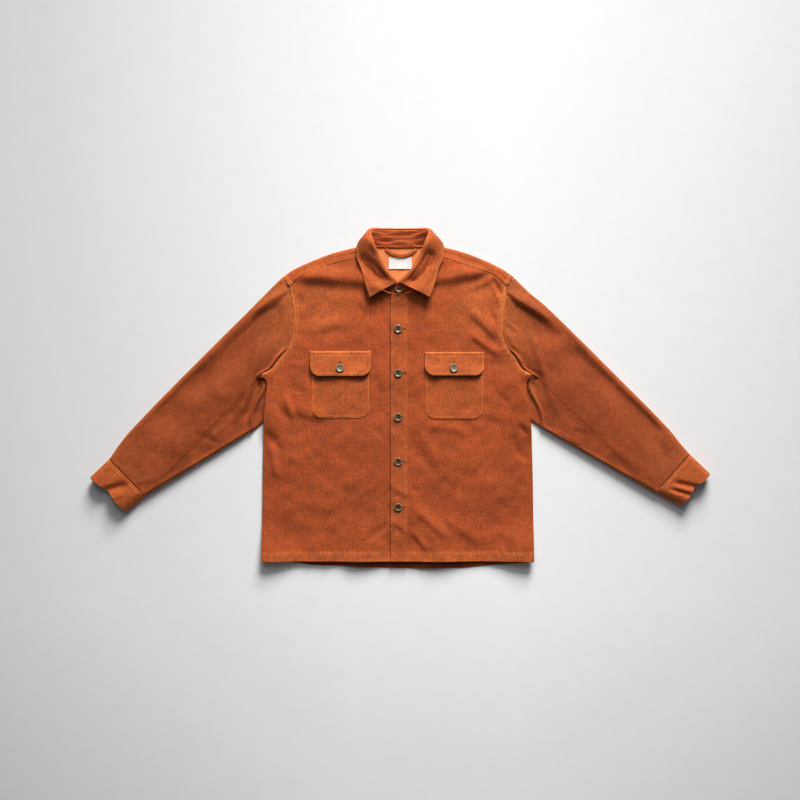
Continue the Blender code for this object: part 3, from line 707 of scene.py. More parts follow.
class Thread:
    """Rows of sewing thread, gathered into one piece."""

    LENGTH = 2.5
    PITCH = 3.5
    RADIUS = 0.36

    def __init__(self, name: str) -> None:
        """Start with no stitches."""
        self.name = name
        self.meshes: list[Mesh] = []
        self.count = 0

    def lay(self, middle: Array, ahead: Array, up: Array, length: Array, radius: float) -> None:
        """Lay stitches, each a small stretched ball.

        Args:
            middle: their middles.
            ahead: unit vectors along them.
            up: unit vectors away from the cloth.
            length: their lengths.
            radius: half the thread's thickness.
        """
        bm = bmesh.new()
        for at, x_axis, z_axis, long in zip(middle, ahead, up, np.broadcast_to(length, len(middle))):
            y_axis = np.cross(z_axis, x_axis)
            turn = Matrix.Identity(4)
            for axis, (vector, size) in enumerate(((x_axis, long / 2), (y_axis, radius), (z_axis, radius))):
                for part in range(3):
                    turn[part][axis] = vector[part] * size * MM
            place = ORIGIN.metres(at)
            for part in range(3):
                turn[part][3] = place[part]
            bmesh.ops.create_icosphere(bm, subdivisions=1, radius=1.0, matrix=turn)
            self.count += 1
        mesh = to_mesh(bm, self.name)
        self.meshes.append(mesh)

    def row(self, points: Array, up: Optional[Array] = None, rise: float = 0.1) -> None:
        """Sew a row of topstitches along a line.

        Args:
            points: the line, in millimetres, on the cloth's outer face.
            up: a unit vector away from the cloth for each point, or straight up.
            rise: how far the thread stands above the line.
        """
        ups = np.broadcast_to((0.0, 0.0, 1.0), points.shape) if up is None else up
        route = Route(np.concatenate([points, ups], axis=-1))
        route.along = np.concatenate([[0.0], np.cumsum(np.linalg.norm(np.diff(points, axis=0), axis=1))])
        every = route.every(self.PITCH)
        middle, up_at = every[:, :3], unit(every[:, 3:])
        ahead = unit(np.gradient(middle, axis=0))
        up_at = unit(up_at - ahead * (up_at * ahead).sum(-1, keepdims=True))
        self.lay(middle + up_at * rise, ahead, up_at, self.LENGTH, self.RADIUS)

    def piece(self, material: Material) -> Piece:
        """Join everything sewn so far into one piece."""
        bm = bmesh.new()
        for mesh in self.meshes:
            bm.from_mesh(mesh)
            bpy.data.meshes.remove(mesh)
        bmesh.ops.recalc_face_normals(bm, faces=bm.faces[:])
        joined = to_mesh(bm, self.name)
        joined.shade_smooth()
        joined.materials.append(material)
        piece = add_object(self.name, joined)
        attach(piece, BODY)
        log.info("%s: %d stitches", self.name, self.count)
        return piece


# ---- finishes

def linear(hex_colour: str) -> tuple[float, float, float, float]:
    """Turn an sRGB hex value into linear RGBA."""
    channels = []
    for start in (1, 3, 5):
        value = int(hex_colour[start:start + 2], 16) / 255
        channels.append(value / 12.92 if value <= 0.04045 else ((value + 0.055) / 1.055) ** 2.4)
    return (*channels, 1.0)


# Nearly every value of a noise texture lies between these two
NOISE = (0.3, 0.7)


def plug(tree: Tree, node: Node, sockets: dict | tuple) -> None:
    """Set a node's inputs, by name or in order, each to a value or from another node's output."""
    for key, value in sockets.items() if isinstance(sockets, dict) else enumerate(sockets):
        if isinstance(value, Socket):
            tree.links.new(value, node.inputs[key])
        else:
            node.inputs[key].default_value = value


def add_node(tree: Tree, kind: str, sockets: dict | tuple, output: str | int = 0,
             **settings: object) -> Socket:
    """Add a shader node with its settings, values and links.

    Args:
        tree: the material's nodes.
        kind: the node's type name, after "ShaderNode".
        sockets: its inputs, by name or in order, as values or outputs of other nodes.
        output: the output that is wanted.
        settings: attributes of the node.

    Returns:
        That output.
    """
    node = tree.nodes.new("ShaderNode" + kind)
    for key, value in settings.items():
        setattr(node, key, value)
    plug(tree, node, sockets)
    return node.outputs[output]


def texture_scale(size_mm: float) -> float:
    """A noise texture's scale for patches of a size in millimetres."""
    return 1 / (size_mm * MM)


def wave_scale(size_mm: float) -> float:
    """A wave texture's scale for bands of a width in millimetres; it turns 20 radians for each unit."""
    return math.pi / (size_mm * MM * 20)


def blank(name: str) -> tuple[Material, Tree, Node, Socket]:
    """A new material, its nodes, its shader and the place on the object."""
    material = bpy.data.materials.new(name)
    material.use_nodes = True
    tree = material.node_tree
    return material, tree, tree.nodes["Principled BSDF"], add_node(tree, "TexCoord", {}, "Object")


def uneven(tree: Tree, colour: Socket | tuple, patterns: Sequence[tuple]) -> Socket:
    """Darken and lighten a colour by patterns.

    Args:
        tree: the material's nodes.
        colour: the even colour.
        patterns: rows of (pattern, its low, its high, shade at the low, shade at the high).

    Returns:
        The uneven colour.
    """
    for pattern in patterns:
        amount = add_node(tree, "MapRange", pattern)
        colour = add_node(tree, "VectorMath", {0: colour, "Scale": amount}, operation="SCALE")
    return colour


@dataclass(frozen=True)
class Corduroy:
    """Cut-pile cotton corduroy, garment-washed: brushed ribs of short pile that stand on a dark ground.

    The ribs catch the light and the grooves stay deep, and the brushed pile gives a faint velvet
    bloom where the cloth turns away. Seams and folded edges are worn paler, and the same paler
    colour is painted on as highlights over the upper chest, the sleeve heads and the collar leaf.
    """

    name: str = "corduroy_cut_pile_washed"
    rib: str = "#B25125"
    groove: str = "#94401A"
    # the paler colour of worn seams and edges, also painted on as highlight over the upper chest, the sleeve
    # heads and the collar leaf
    worn_and_lit: str = "#CC7038"
    crushed: str = "#8A4A2B"
    tuft_mm: float = 2.4
    slub_mm: float = 3.4
    patch_mm: float = 11.9
    cloud_mm: float = 55.0
    sheen_tint: str = "#FFA468"

    def build(self) -> Material:
        """Make the material."""
        material, tree, shader, place = blank(self.name)
        pile, wear_and_highlight = (add_node(tree, "Attribute", {}, "Fac", attribute_name=name)
                      for name in ("pile", "wear_and_highlight"))
        patterns = []
        for size, detail, rough, stretch in (
            (self.tuft_mm, 2.0, 0.6, (1, 1, 1)), (self.cloud_mm, 3.0, 0.55, (1, 1, 1)),
            (self.slub_mm, 1.0, 0.5, (0.22, 1, 1)), (self.slub_mm, 1.0, 0.5, (1, 0.22, 1)),
            (self.patch_mm, 4.0, 0.65, (1, 1, 1)),
        ):
            at = add_node(tree, "Mapping", {"Vector": place, "Scale": stretch})
            patterns.append(add_node(tree, "TexNoise", {
                "Vector": at, "Scale": texture_scale(size), "Detail": detail, "Roughness": rough,
            }))
        tuft, cloud, slub_along, slub_up, lying = patterns
        crushed = add_node(tree, "MapRange", (lying, 0.45, 0.75, 0.0, 0.55))
        colour = linear(self.groove)
        for share, other in ((pile, self.rib), (wear_and_highlight, self.worn_and_lit), (crushed, self.crushed)):
            colour = add_node(tree, "Mix", {0: share, 6: colour, 7: linear(other)}, 2, data_type="RGBA")
        plug(tree, shader, {
            "Base Color": uneven(tree, colour, (
                (tuft, *NOISE, 0.76, 1.24), (cloud, *NOISE, 0.9, 1.1),
                (slub_along, *NOISE, 0.88, 1.12), (slub_up, *NOISE, 0.9, 1.1),
            )),
            "Normal": add_node(tree, "Bump", {"Strength": 0.5, "Distance": 0.35 * MM, "Height": tuft}),
            "Roughness": add_node(tree, "MapRange", (tuft, *NOISE, 0.86, 0.96)),
            "Specular IOR Level": 0.25, "Sheen Weight": 0.2, "Sheen Roughness": 0.45,
            "Sheen Tint": linear(self.sheen_tint),
        })
        return material


@dataclass(frozen=True)
class PlainBack:
    """The wrong side of the corduroy: a flat cotton twill ground, paler and duller than the pile."""

    name: str = "corduroy_wrong_side_twill"
    warp: str = "#EC9256"
    weft: str = "#D67A42"
    yarn_mm: float = 1.2
    cloud_mm: float = 35.7

    def build(self) -> Material:
        """Make the material. The yarns are drawn at twice their real size, so that they show."""
        material, tree, shader, place = blank(self.name)
        turned = add_node(tree, "Mapping", {"Vector": place, "Rotation": (0, 0, math.radians(63))})
        twill = add_node(tree, "TexWave", {
            "Vector": turned, "Scale": wave_scale(self.yarn_mm), "Distortion": 0.6, "Detail": 1.0,
            "Detail Scale": 3.0,
        }, "Fac", bands_direction="X")
        cloud = add_node(tree, "TexNoise", {
            "Vector": place, "Scale": texture_scale(self.cloud_mm), "Detail": 3.0,
        })
        colour = add_node(tree, "Mix", {0: twill, 6: linear(self.weft), 7: linear(self.warp)}, 2,
                          data_type="RGBA")
        plug(tree, shader, {
            "Base Color": uneven(tree, colour, [(cloud, *NOISE, 0.93, 1.07)]),
            "Normal": add_node(tree, "Bump", {"Strength": 0.3, "Distance": 0.2 * MM, "Height": twill}),
            "Roughness": 0.9, "Specular IOR Level": 0.25, "Sheen Weight": 0.15,
        })
        return material


@dataclass(frozen=True)
class SpunThread:
    """Core-spun polyester sewing thread: fine, slightly glossy, a shade paler than the cloth."""

    name: str = "thread_core_spun_polyester"
    colour: str = "#B4602F"
    ply_mm: float = 0.5

    def build(self) -> Material:
        """Make the material."""
        material, tree, shader, place = blank(self.name)
        ply = add_node(tree, "TexNoise", {
            "Vector": place, "Scale": texture_scale(self.ply_mm), "Detail": 1.0,
        })
        colour = uneven(tree, linear(self.colour)[:3], [(ply, *NOISE, 0.8, 1.15)])
        plug(tree, shader, {"Base Color": colour, "Roughness": 0.55})
        return material


@dataclass(frozen=True)
class Horn:
    """Buffalo-horn button, turned and polished: a pale rim, a darker streaked middle, soft gloss."""

    name: str = "horn_turned_polished"
    rim: str = "#846A4C"
    middle: str = "#3E2B1C"
    streak_mm: float = 2.5

    def build(self) -> Material:
        """Make the material. The pile attribute is 1 at the button's middle and 0 at its rim."""
        material, tree, shader, place = blank(self.name)
        depth = add_node(tree, "Attribute", {}, "Fac", attribute_name="pile")
        stretched = add_node(tree, "Mapping", {"Vector": place, "Scale": (1.0, 0.25, 1.0)})
        streak = add_node(tree, "TexNoise", {
            "Vector": stretched, "Scale": texture_scale(self.streak_mm), "Detail": 4.0, "Roughness": 0.6,
        })
        colour = add_node(tree, "Mix", {0: depth, 6: linear(self.rim), 7: linear(self.middle)}, 2,
                          data_type="RGBA")
        plug(tree, shader, {
            "Base Color": uneven(tree, colour, [(streak, *NOISE, 0.6, 1.4)]),
            "Roughness": add_node(tree, "MapRange", (streak, *NOISE, 0.22, 0.4)),
            "IOR": 1.55, "Coat Weight": 0.3, "Coat Roughness": 0.15,
        })
        return material


@dataclass(frozen=True)
class LabelSatin:
    """Woven polyester satin label, blank: white, close, with a faint sheen along its ribs."""

    name: str = "label_woven_satin"
    colour: str = "#F4F3F0"
    shaded: str = "#D8D6D2"
    rib_mm: float = 0.8

    def build(self) -> Material:
        """Make the material. The ribs are drawn at twice their real size, so that they show."""
        material, tree, shader, place = blank(self.name)
        rib = add_node(tree, "TexWave", {
            "Vector": place, "Scale": wave_scale(self.rib_mm), "Distortion": 0.2,
        }, "Fac", bands_direction="Y")
        plug(tree, shader, {
            "Base Color": add_node(tree, "Mix", {0: rib, 6: linear(self.shaded), 7: linear(self.colour)}, 2,
                                   data_type="RGBA"),
            "Normal": add_node(tree, "Bump", {"Strength": 0.3, "Distance": 0.1 * MM, "Height": rib}),
            "Roughness": 0.5, "Sheen Weight": 0.2,
        })
        return material


@dataclass(frozen=True)
class PaperFloor:
    """Studio background paper: matt, nearly white, with painted light falloff: darker to the left, to the
    right and towards +y, brighter towards -y.
    """

    name: str = "background_paper_matt"
    colour: str = "#EBECEE"
    grain_mm: float = 40.0
    # painted light falloff on the paper: rows of (from, to, shade at from, shade at to), across x and up y
    left: tuple = (-0.9, -0.1, 0.8, 1.0)
    right: tuple = (0.25, 0.9, 1.0, 0.82)
    up: tuple = (-0.45, 0.9, 1.2, 0.72)

    def build(self) -> Material:
        """Make the material."""
        material, tree, shader, place = blank(self.name)
        grain = add_node(tree, "TexNoise", {
            "Vector": place, "Scale": texture_scale(self.grain_mm), "Detail": 4.0,
        })
        across, up = (add_node(tree, "SeparateXYZ", (place,), axis) for axis in "XY")
        # the paper's colour is shaded across x and up y: painted light falloff
        plug(tree, shader, {
            "Base Color": uneven(tree, linear(self.colour)[:3], (
                (grain, *NOISE, 0.99, 1.01), (across, *self.left), (across, *self.right), (up, *self.up),
            )),
            "Roughness": 0.95, "Specular IOR Level": 0.1,
        })
        return material


class Finishes:
    """Every material, made once."""

    def __init__(self) -> None:
        """Build them all."""
        pile = Corduroy().build()
        # painted shade: the sleeves get a darker copy of the corduroy, for their pile that lies along the
        # sleeve and catches less light
        shaded_nap_down = Corduroy("corduroy_cut_pile_shaded_nap_down", "#A04A21", "#833916", "#BE6834").build()
        wrong = PlainBack().build()
        self.single = pile, wrong
        self.doubled = pile, pile
        self.sleeve = shaded_nap_down, wrong
        self.thread = SpunThread().build()
        self.horn = Horn().build()
        self.pale_horn = Horn("horn_turned_polished_pale", "#8E7A62", "#A5937A").build()
        self.twist = SpunThread("thread_buttonhole_twist", "#6E3518").build()
        self.satin = LabelSatin().build()
        self.paper = PaperFloor().build()


# ---- sub-assemblies

@dataclass(frozen=True)
class Cut:
    """The flat piece that a cloth part is cut from: its rectangle in metres, and its area."""

    width: float
    length: float
    share: float = 1.0

    @property
    def area(self) -> float:
        """Flat area in square metres."""
        return self.width * self.length * self.share


def dress(piece: Piece, node: str, materials: Sequence[Material], cut: Optional[Cut] = None,
          slot: Slot = Slot.CORDUROY) -> Piece:
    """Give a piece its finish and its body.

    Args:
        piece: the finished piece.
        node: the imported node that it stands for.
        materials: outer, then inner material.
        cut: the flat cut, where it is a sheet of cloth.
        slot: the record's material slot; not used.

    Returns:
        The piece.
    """
    for material in materials:
        piece.data.materials.append(material)
    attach(piece, BODY)
    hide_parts(node)
    if cut:
        cut.area
    log.info("%s: %d faces", piece.name, len(piece.data.polygons))
    return piece


@dataclass
class BackPanel:
    """Back panel, hem to yoke seam, flat on the floor."""

    finishes: Finishes
    seam_y: float = 600.0
    row_step: float = 18.0
    hem_turn: float = 1.6
    cut: Cut = Cut(0.63, 0.66, 0.93)

    def build(self) -> Piece:
        """Make the panel: wales below, plain cloth above."""
        half = 303.0
        out = wale_lines(-half, half, (-half + 0.6, -half + 2, half - 2, half - 0.6))
        up = lines(0.0, self.seam_y - SEAM_GAP, self.row_step, [(0.0, 24.0, 2.4), (400.0, 560.0, 6.0)])
        u, v = np.meshgrid(out, up, indexing="ij")
        x, y = body_plan(u, v)
        hem = LAY.back_hem(x)
        y = np.where(v < 60, mix(hem, y, v / 60), y)
        under = LAY.back_under(x, y)
        pile = pile_at(u)
        turned = 1 - rounding(y - hem, self.hem_turn)
        fold = 0.7 * (1 - smooth((v - LAY.hem_band + 1) / 2))
        seam = Route([(-300, 20), (300, 20)])
        puckers = Topstitch(sink=0.3, pucker=0.5, wave=12).field(seam, x, v)
        outer = Surface.of(x, y, under + WALE_DEPTH * (1 - pile) + 0.5 * turned, pile)
        # painted shade: the inner face's pile is 0.1, near the groove colour, so the turned hem below the
        # hem band, which does show the pile side, looks dark in the gap under the fronts' hem
        inner = Surface.of(x, y, under + CLOTH + fold * (1 - turned) + puckers * 0.5, 0.1)
        piece = slab("back_panel", outer, inner)
        turning = ORIGIN.metres(np.array((0.0, LAY.hem_band, 0.0)))[1]
        for face in piece.data.polygons:
            if face.center.y < turning:
                face.material_index = 0
        return dress(piece, "back", self.finishes.single, self.cut)


def body_plan(u: Array, v: Array) -> tuple[Array, Array]:
    """Where a body panel's grid lines lie: straight up the cloth, drawn in only near the sides.

    Args:
        u: distance of the line from the button line, signed.
        v: height up the line.

    Returns:
        x and y of the corners; lines that meet the armhole stop on it.
    """
    out = np.abs(u)
    sign = np.where(u < 0, -1.0, 1.0)
    widest = np.where(u < 0, 303.0, 301.0)
    nominal = np.where(u < 0, out, out * 301 / 303)
    stop = np.where(u < 0, LAY.armhole_y(Side.RIGHT, nominal), LAY.armhole_y(Side.LEFT, nominal))
    crossing = nominal > LAY.armhole_least
    y = np.where(crossing, np.minimum(v, stop), v)
    edge = LAY.side_seam(u, y)
    low = (edge - widest) * smooth((nominal - 200) / 103) * (y <= LAY.armpit_y)
    high = (edge - LAY.armhole_least) * smooth((nominal - 170) / 61) * (y > LAY.straight_y)
    x = nominal + low + np.where(crossing, 0.0, high)
    return sign * np.minimum(x, np.maximum(edge, LAY.armhole_least)), y


@dataclass
class FrontPanel:
    """A front, hem to yoke seam and neckline, with its turned hem and stitched armhole."""

    finishes: Finishes
    side: Side
    row_step: float = 6.2
    top_start: float = 562.0
    cut: Cut = Cut(0.345, 0.70, 0.89)

    def plan(self) -> tuple[Array, Array, Array, Array]:
        """Grid places of the panel.

        Returns:
            u across the wales, v up, and the x and y of each corner.
        """
        inner = LAY.placket_edge + 1 if self.side == Side.LEFT else -LAY.under_edge
        half = 303.0
        out = wale_lines(inner, half, (inner + 0.5, inner + 1.5, half - 2, half - 0.6))
        low = lines(0.0, self.top_start, self.row_step,
                    [(0.0, 3.0, 0.7), (3.0, 26.0, 2.2), (404.0, 424.0, 2.5), (424.0, 520.0, 4.5)])
        shares = lines(0.0, 1.0, 0.07, [(0.88, 0.975, 0.022), (0.975, 1.0, 0.008)])[1:]
        u = np.repeat(out[:, None], len(low) + len(shares), axis=1) * int(self.side)
        v = np.repeat(np.concatenate([low, self.top_start + shares])[None, :], len(out), axis=0)
        x, y = body_plan(u, np.minimum(v, self.top_start))
        above = v > self.top_start
        share = np.where(above, v - self.top_start, 0.0)
        crossing = np.abs(x) > LAY.armhole_least + 0.01
        seam_y = float(LAY.front_seam[self.side](242))
        rise = LAY.side_seam(u, mix(self.top_start, seam_y, share)) - LAY.armhole_least
        wide = x + self.side * rise * smooth((np.abs(u) - 170) / 61)
        top = LAY.front_seam(wide) - SEAM_GAP
        free = above & ~crossing
        x = np.where(free, wide, x)
        y = np.where(free, mix(self.top_start, top, share), y)
        return u, v, x, y

    def build(self) -> Piece:
        """Make the panel."""
        u, v, x, y = self.plan()
        under = LAY.front_under(self.side, x, y)
        pile = pile_at(u)
        detail, wear_and_highlight = self.details(x, y)
        turned = 1 - rounding(y, 1.6)
        outer_z = under + CLOTH - WALE_DEPTH * (1 - pile) + detail - 0.9 * turned
        outer = Surface.of(x, y, outer_z, pile, wear_and_highlight)
        inner = Surface.of(x, y, under + 0.35 * turned, 1.0)
        piece = slab("front_panel_" + self.side.word, outer, inner)
        return dress(piece, "front_" + self.side.word, self.finishes.single,
                     self.cut)

    def details(self, x: Array, y: Array) -> tuple[Array, Array]:
        """What the hem and the armhole seam add to the outer face, with a painted highlight on the upper
        chest.

        Args:
            x: places across.
            y: places up.

        Returns:
            Height and wear.
        """
        hem = Route([(-310, LAY.hem_band), (310, LAY.hem_band)])
        height = Topstitch(sink=0.5, pucker=0.75, wave=11, spread=9).field(hem, x, y)
        height += 0.7 * (1 - smooth((y - LAY.hem_band - 1) / 2.5))
        away, _ = hem.nearest(x, y)
        wear_and_highlight = 0.35 * bell(away, 2.2) + 0.5 * bell(y, 2.0)
        wear_and_highlight += 0.28 * (1 - smooth((y - LAY.hem_band) / 2.0))
        # painted highlight: a paler patch over each upper chest, where the fronts slope up towards the light
        wear_and_highlight += 0.4 * np.exp(-(((np.abs(x) - 165) / 60) ** 2) - ((y - 575) / 60) ** 2)
        seam = LAY.armhole_route(self.side, 0.0)
        from_seam, _ = seam.nearest(x, y)
        above_armpit = smooth((y - LAY.armpit_y + 4) / 8)
        height += 1.3 * (1 - smooth((from_seam - 9.5) / 2)) * above_armpit * rounding(from_seam + 0.3, 2.0)
        wear_and_highlight += 0.75 * bell(from_seam, 3.0) * above_armpit
        for inset in ARMHOLE_ROWS:
            row = LAY.armhole_route(self.side, inset)
            height += Topstitch(sink=0.5, pucker=0.4, wave=16).field(row, x, y) * above_armpit
            away, _ = row.nearest(x, y)
            wear_and_highlight += 0.55 * bell(away, 2.0) * above_armpit
        return height, wear_and_highlight


@dataclass
class Yoke:
    """Back yoke, over both shoulders to the front yoke seams, cut out at the neck."""

    finishes: Finishes
    neck_half: float = 78.0
    end: float = 258.0
    seam_y: float = 600.0
    tip_y: float = 632.0
    turn: float = 8.0
    back_rows: int = 12
    turn_rows: int = 10
    front_rows: int = 14
    cut: Cut = Cut(0.52, 0.15, 0.62)

    def build(self) -> Piece:
        """Make the yoke."""
        marks = (-self.neck_half, self.neck_half)
        out = wale_lines(-self.end, self.end, (*marks, -self.end + 1.2, self.end - 1.2))
        rows = np.arange(self.back_rows + self.turn_rows + self.front_rows + 1)
        u, row = np.meshgrid(out, rows, indexing="ij")
        outer_pile = pile_at(u)
        places = [self.place(u, row, depth) for depth in (WALE_DEPTH * (1 - outer_pile), CLOTH)]
        outer = Surface.of(*places[0], outer_pile, self.wear_and_highlight(u, row))
        inner = Surface.of(*places[1], 1.0)

        def keep(column: float, at_row: float) -> bool:
            """Cloth everywhere but in the neck."""
            middle = (out[int(column)] + out[int(column) + 1]) / 2
            return abs(middle) > self.neck_half or at_row < self.back_rows

        piece = slab("yoke_shoulders", outer, inner, keep)
        return dress(piece, "yoke", self.finishes.single, self.cut)

    def place(self, u: Array, row: Array, depth: Array) -> tuple[Array, Array, Array]:
        """Corners of the yoke at a depth below its outer face.

        Args:
            u: distance across, signed.
            row: row number, up the back, round the shoulder and down the front.
            depth: distance in from the outer face.

        Returns:
            x, y and z.
        """
        out = np.abs(u)
        sign = np.where(u < 0, -1.0, 1.0)
        share_out = out / self.end
        fold_y = LAY.shoulder(u, out)
        turn = self.turn * smooth((out - 60) / 18)
        straight_end = fold_y - turn
        turn_start = self.tip_y - self.turn
        up = np.clip(row / self.back_rows, 0, 1)
        angle = math.pi * np.clip((row - self.back_rows) / self.turn_rows, 0, 1)
        down = np.clip((row - self.back_rows - self.turn_rows) / self.front_rows, 0, 1)
        run = turn * np.sin(angle)
        back_x = sign * share_out * LAY.side_seam(u, mix(self.seam_y, turn_start, up) + run)
        end_share = np.clip((out - self.neck_half) / (self.end - self.neck_half), 0, 1)
        front_x = sign * mix(self.neck_half, 242.0, end_share)
        x = mix(back_x, front_x, down)
        bottom = LAY.front_seam(front_x) + SEAM_GAP / 2
        y = mix(mix(self.seam_y, straight_end, up) + run - depth * np.sin(angle), bottom, down)
        height = 2 * CLOTH + LAY.gap(x, mix(straight_end, y, down))
        folds = LAY.folds(x, y) * down
        z = height / 2 - (height / 2 - depth) * np.cos(angle) + folds
        base = LAY.lift(x, np.where(row <= self.back_rows, y, straight_end))
        return x, y, base + z + self.seam_lift(x, y, down, depth) + self.end_lift(out, row, depth)

    def seam_lift(self, x: Array, y: Array, down: Array, depth: Array) -> Array:
        """The turned-in edge along the front yoke seam stands proud of the front, with its stitching."""
        seam = LAY.front_seam(x)
        away = y - seam
        outside = (depth < CLOTH - 0.01) & (down > 0)
        raised = 1.5 * (1 - smooth((away - 8) / 3)) * rounding(away + 0.2, 1.6)
        grooves = -0.5 * bell(away - YOKE_ROWS[0], 1.4) - 0.4 * bell(away - YOKE_ROWS[1], 1.4)
        ripple = 0.3 * np.sin(np.abs(x) / 2.4) * bell(away - 5, 5)
        return np.where(outside, raised + grooves + ripple, 0.0)

    def end_lift(self, out: Array, row: Array, depth: Array) -> Array:
        """The stitched band where the yoke meets the sleeve head."""
        away = self.end - out
        outside = (depth < CLOTH - 0.01) & (row > self.back_rows)
        raised = 1.1 * (1 - smooth((away - 8) / 2)) * rounding(away + 0.3, 1.6)
        groove = -0.5 * bell(away - 8.5, 1.3)
        return np.where(outside, raised + groove, 0.0)

    def wear_and_highlight(self, u: Array, row: Array) -> Array:
        """Rubbed edges along the shoulder fold and the seams."""
        out = np.abs(u)
        start = self.back_rows + self.turn_rows
        low_edge = smooth((row - start - self.front_rows * 0.45) / (self.front_rows * 0.35)) * 0.45
        fold = 0.3 * bell(row - self.back_rows - self.turn_rows * 0.6, 4.0)
        end = 0.4 * (1 - smooth((self.end - out - 7) / 3)) * (row > self.back_rows)
        return np.clip(low_edge + fold + end, 0, 1)


class SleevePlan:
    """Where the sleeve's cloth lies: a flattened tube with its lines running from armhole to cuff."""

    LINES = (
        # across, y at the armhole, tuck under the body, end on the cuff seam (to 1) or underarm (to 2)
        (0, 631.5, -1.4, 0), (27, 610, -1, 0.23), (47, 588, -1, 0.40), (68, 562, -0.7, 0.58),
        (97, 518, -0.7, 0.83), (113, 478, -0.7, 0.97), (118, 453, -0.5, 1.03), (122, 430, 3, 1.08),
        (125, 414, 15, 1.12), (128, 403, 8, 1.16), (141, 385, 9, 1.32), (158, 368, 13, 1.53),
        (181, 340, 14, 1.82), (192, 322, 12, 1.955),
    )
    LAST = 192.0
    RIBS = Curve(((0, 0), (100, 100), (118, 110), (168, 128), (232, 192)))
    LAST_RIB = 232.0
    UNDERNEATH = 122.0
    AXIS = (260.0, 500.0), (600.0, 190.0)
    VALLEY = {Side.RIGHT: (20.0, 28.0, 9.0), Side.LEFT: (10.0, 34.0, 8.0)}
    PRESSED = 4.4
    HEIGHTS = Curve(((0, 6.5), (0.15, 9.5), (0.5, 13.5), (0.8, 16.5), (1, 19.5)))
    BULGES = Pair(
        (0, 0, 0), (0.07, 1.2, 0.3), (0.18, 2.2, 5.5), (0.31, 4.4, 6.7), (0.45, 6.4, 7.2), (0.6, 8.4, 7.4),
        (0.75, 9.6, 7.8), (0.87, 9.2, 6.4), (0.95, 4.8, 2.2), (1, 0, 0),
    )

    def __init__(self, side: Side) -> None:
        """Read the tables for one side."""
        self.side = side
        self.cuff = CUFFS[side]
        across, up, tuck, end = zip(*self.LINES)
        self.start_y = Curve(tuple(zip(across, up)))
        self.tuck = Curve(tuple(zip(across, tuck)))
        self.end = Curve(tuple(zip(across, end)))

    def place(self, across: Array, along: Array) -> tuple[Array, Array, Array]:
        """A place on the laid-out sleeve, and its distance from the nearest closed edge.

        Args:
            across: distance from the top fold.
            along: share of the way from the armhole.

        Returns:
            x, y and the distance.
        """
        y0 = self.start_y(across)
        x0 = self.side * (LAY.side_seam[self.side](y0) - self.tuck(across))
        end = self.end(across)
        first = np.clip(end, 0, 1)[..., None]
        second = np.clip(end - 1, 0, 1)[..., None]
        seam_top, seam_low, _, _ = self.cuff.corners()
        stop = mix(mix(seam_top, seam_low, first), np.array(self.cuff.underarm, float), second)
        x = mix(x0, stop[..., 0], along)
        y = mix(y0, stop[..., 1], along)
        bulge = self.BULGES[self.side](along) * (1 - across / self.LAST) ** 2
        length = np.hypot(stop[..., 0] - x0, stop[..., 1] - y0)
        to_last = (self.LAST - across) * 0.7
        to_underarm = (1 - along) * length * 0.27 + np.maximum(0.0, 1 - end) * 110
        to_tuck = 8.0 + along * length * 0.8 + np.maximum(0.0, self.UNDERNEATH - across) * 2
        distance = np.minimum(np.minimum(across, to_last), np.minimum(to_underarm, to_tuck))
        self.to_low = np.minimum(to_last, to_underarm)
        return x + self.side * 0.7 * bulge, y + 0.71 * bulge, distance

    def sag(self, half: Array, distance: Array, under: Array) -> Array:
        """How far the cloth's closed edge sinks to the floor along the underarm."""
        return 0.35 * np.maximum(half - 3.0, 0.0) * bell(distance, 12.0) * under

    def half_height(self, x: Array, y: Array, across: Array, along: Array) -> Array:
        """Half the height of the flattened tube."""
        (start_x, start_y), (end_x, end_y) = self.AXIS
        run_x, run_y = end_x - start_x, end_y - start_y
        reach = ((self.side * x - start_x) * run_x + (y - start_y) * run_y) / (run_x ** 2 + run_y ** 2)
        height = mix(2 * CLOTH + LAY.gap(x, y), self.HEIGHTS(reach), smooth(along / 0.16))
        beyond = np.where(y < 470, self.side * x - LAY.side_seam[self.side](y), 45.0)
        flat, climb, strip = self.VALLEY[self.side]
        below = smooth((across - 92) / 30) * (1 - smooth((beyond - flat) / climb))
        slant = 7.0 + 20.0 * smooth((400.0 - y) / 85.0)
        low = self.PRESSED + strip * bell(beyond - slant, 5.0) * smooth(along / 0.04)
        return mix(height, low, below) / 2


@dataclass(frozen=True)
class CuffLines:
    """Corners of a cuff and the underarm end of its sleeve."""

    seam_top: tuple[float, float]
    seam_low: tuple[float, float]
    end_top: tuple[float, float]
    end_low: tuple[float, float]
    underarm: tuple[float, float]

    def corners(self) -> list[Array]:
        """Top and low of the seam, then of the open end."""
        places = self.seam_top, self.seam_low, self.end_top, self.end_low
        return [np.array(place, float) for place in places]


CUFFS = {
    Side.RIGHT: CuffLines((-640.5, 229), (-561, 147), (-682, 188), (-604, 112), (-300, 306)),
    Side.LEFT: CuffLines((646, 240), (570, 154), (690.6, 196), (626, 125), (296, 311)),
}


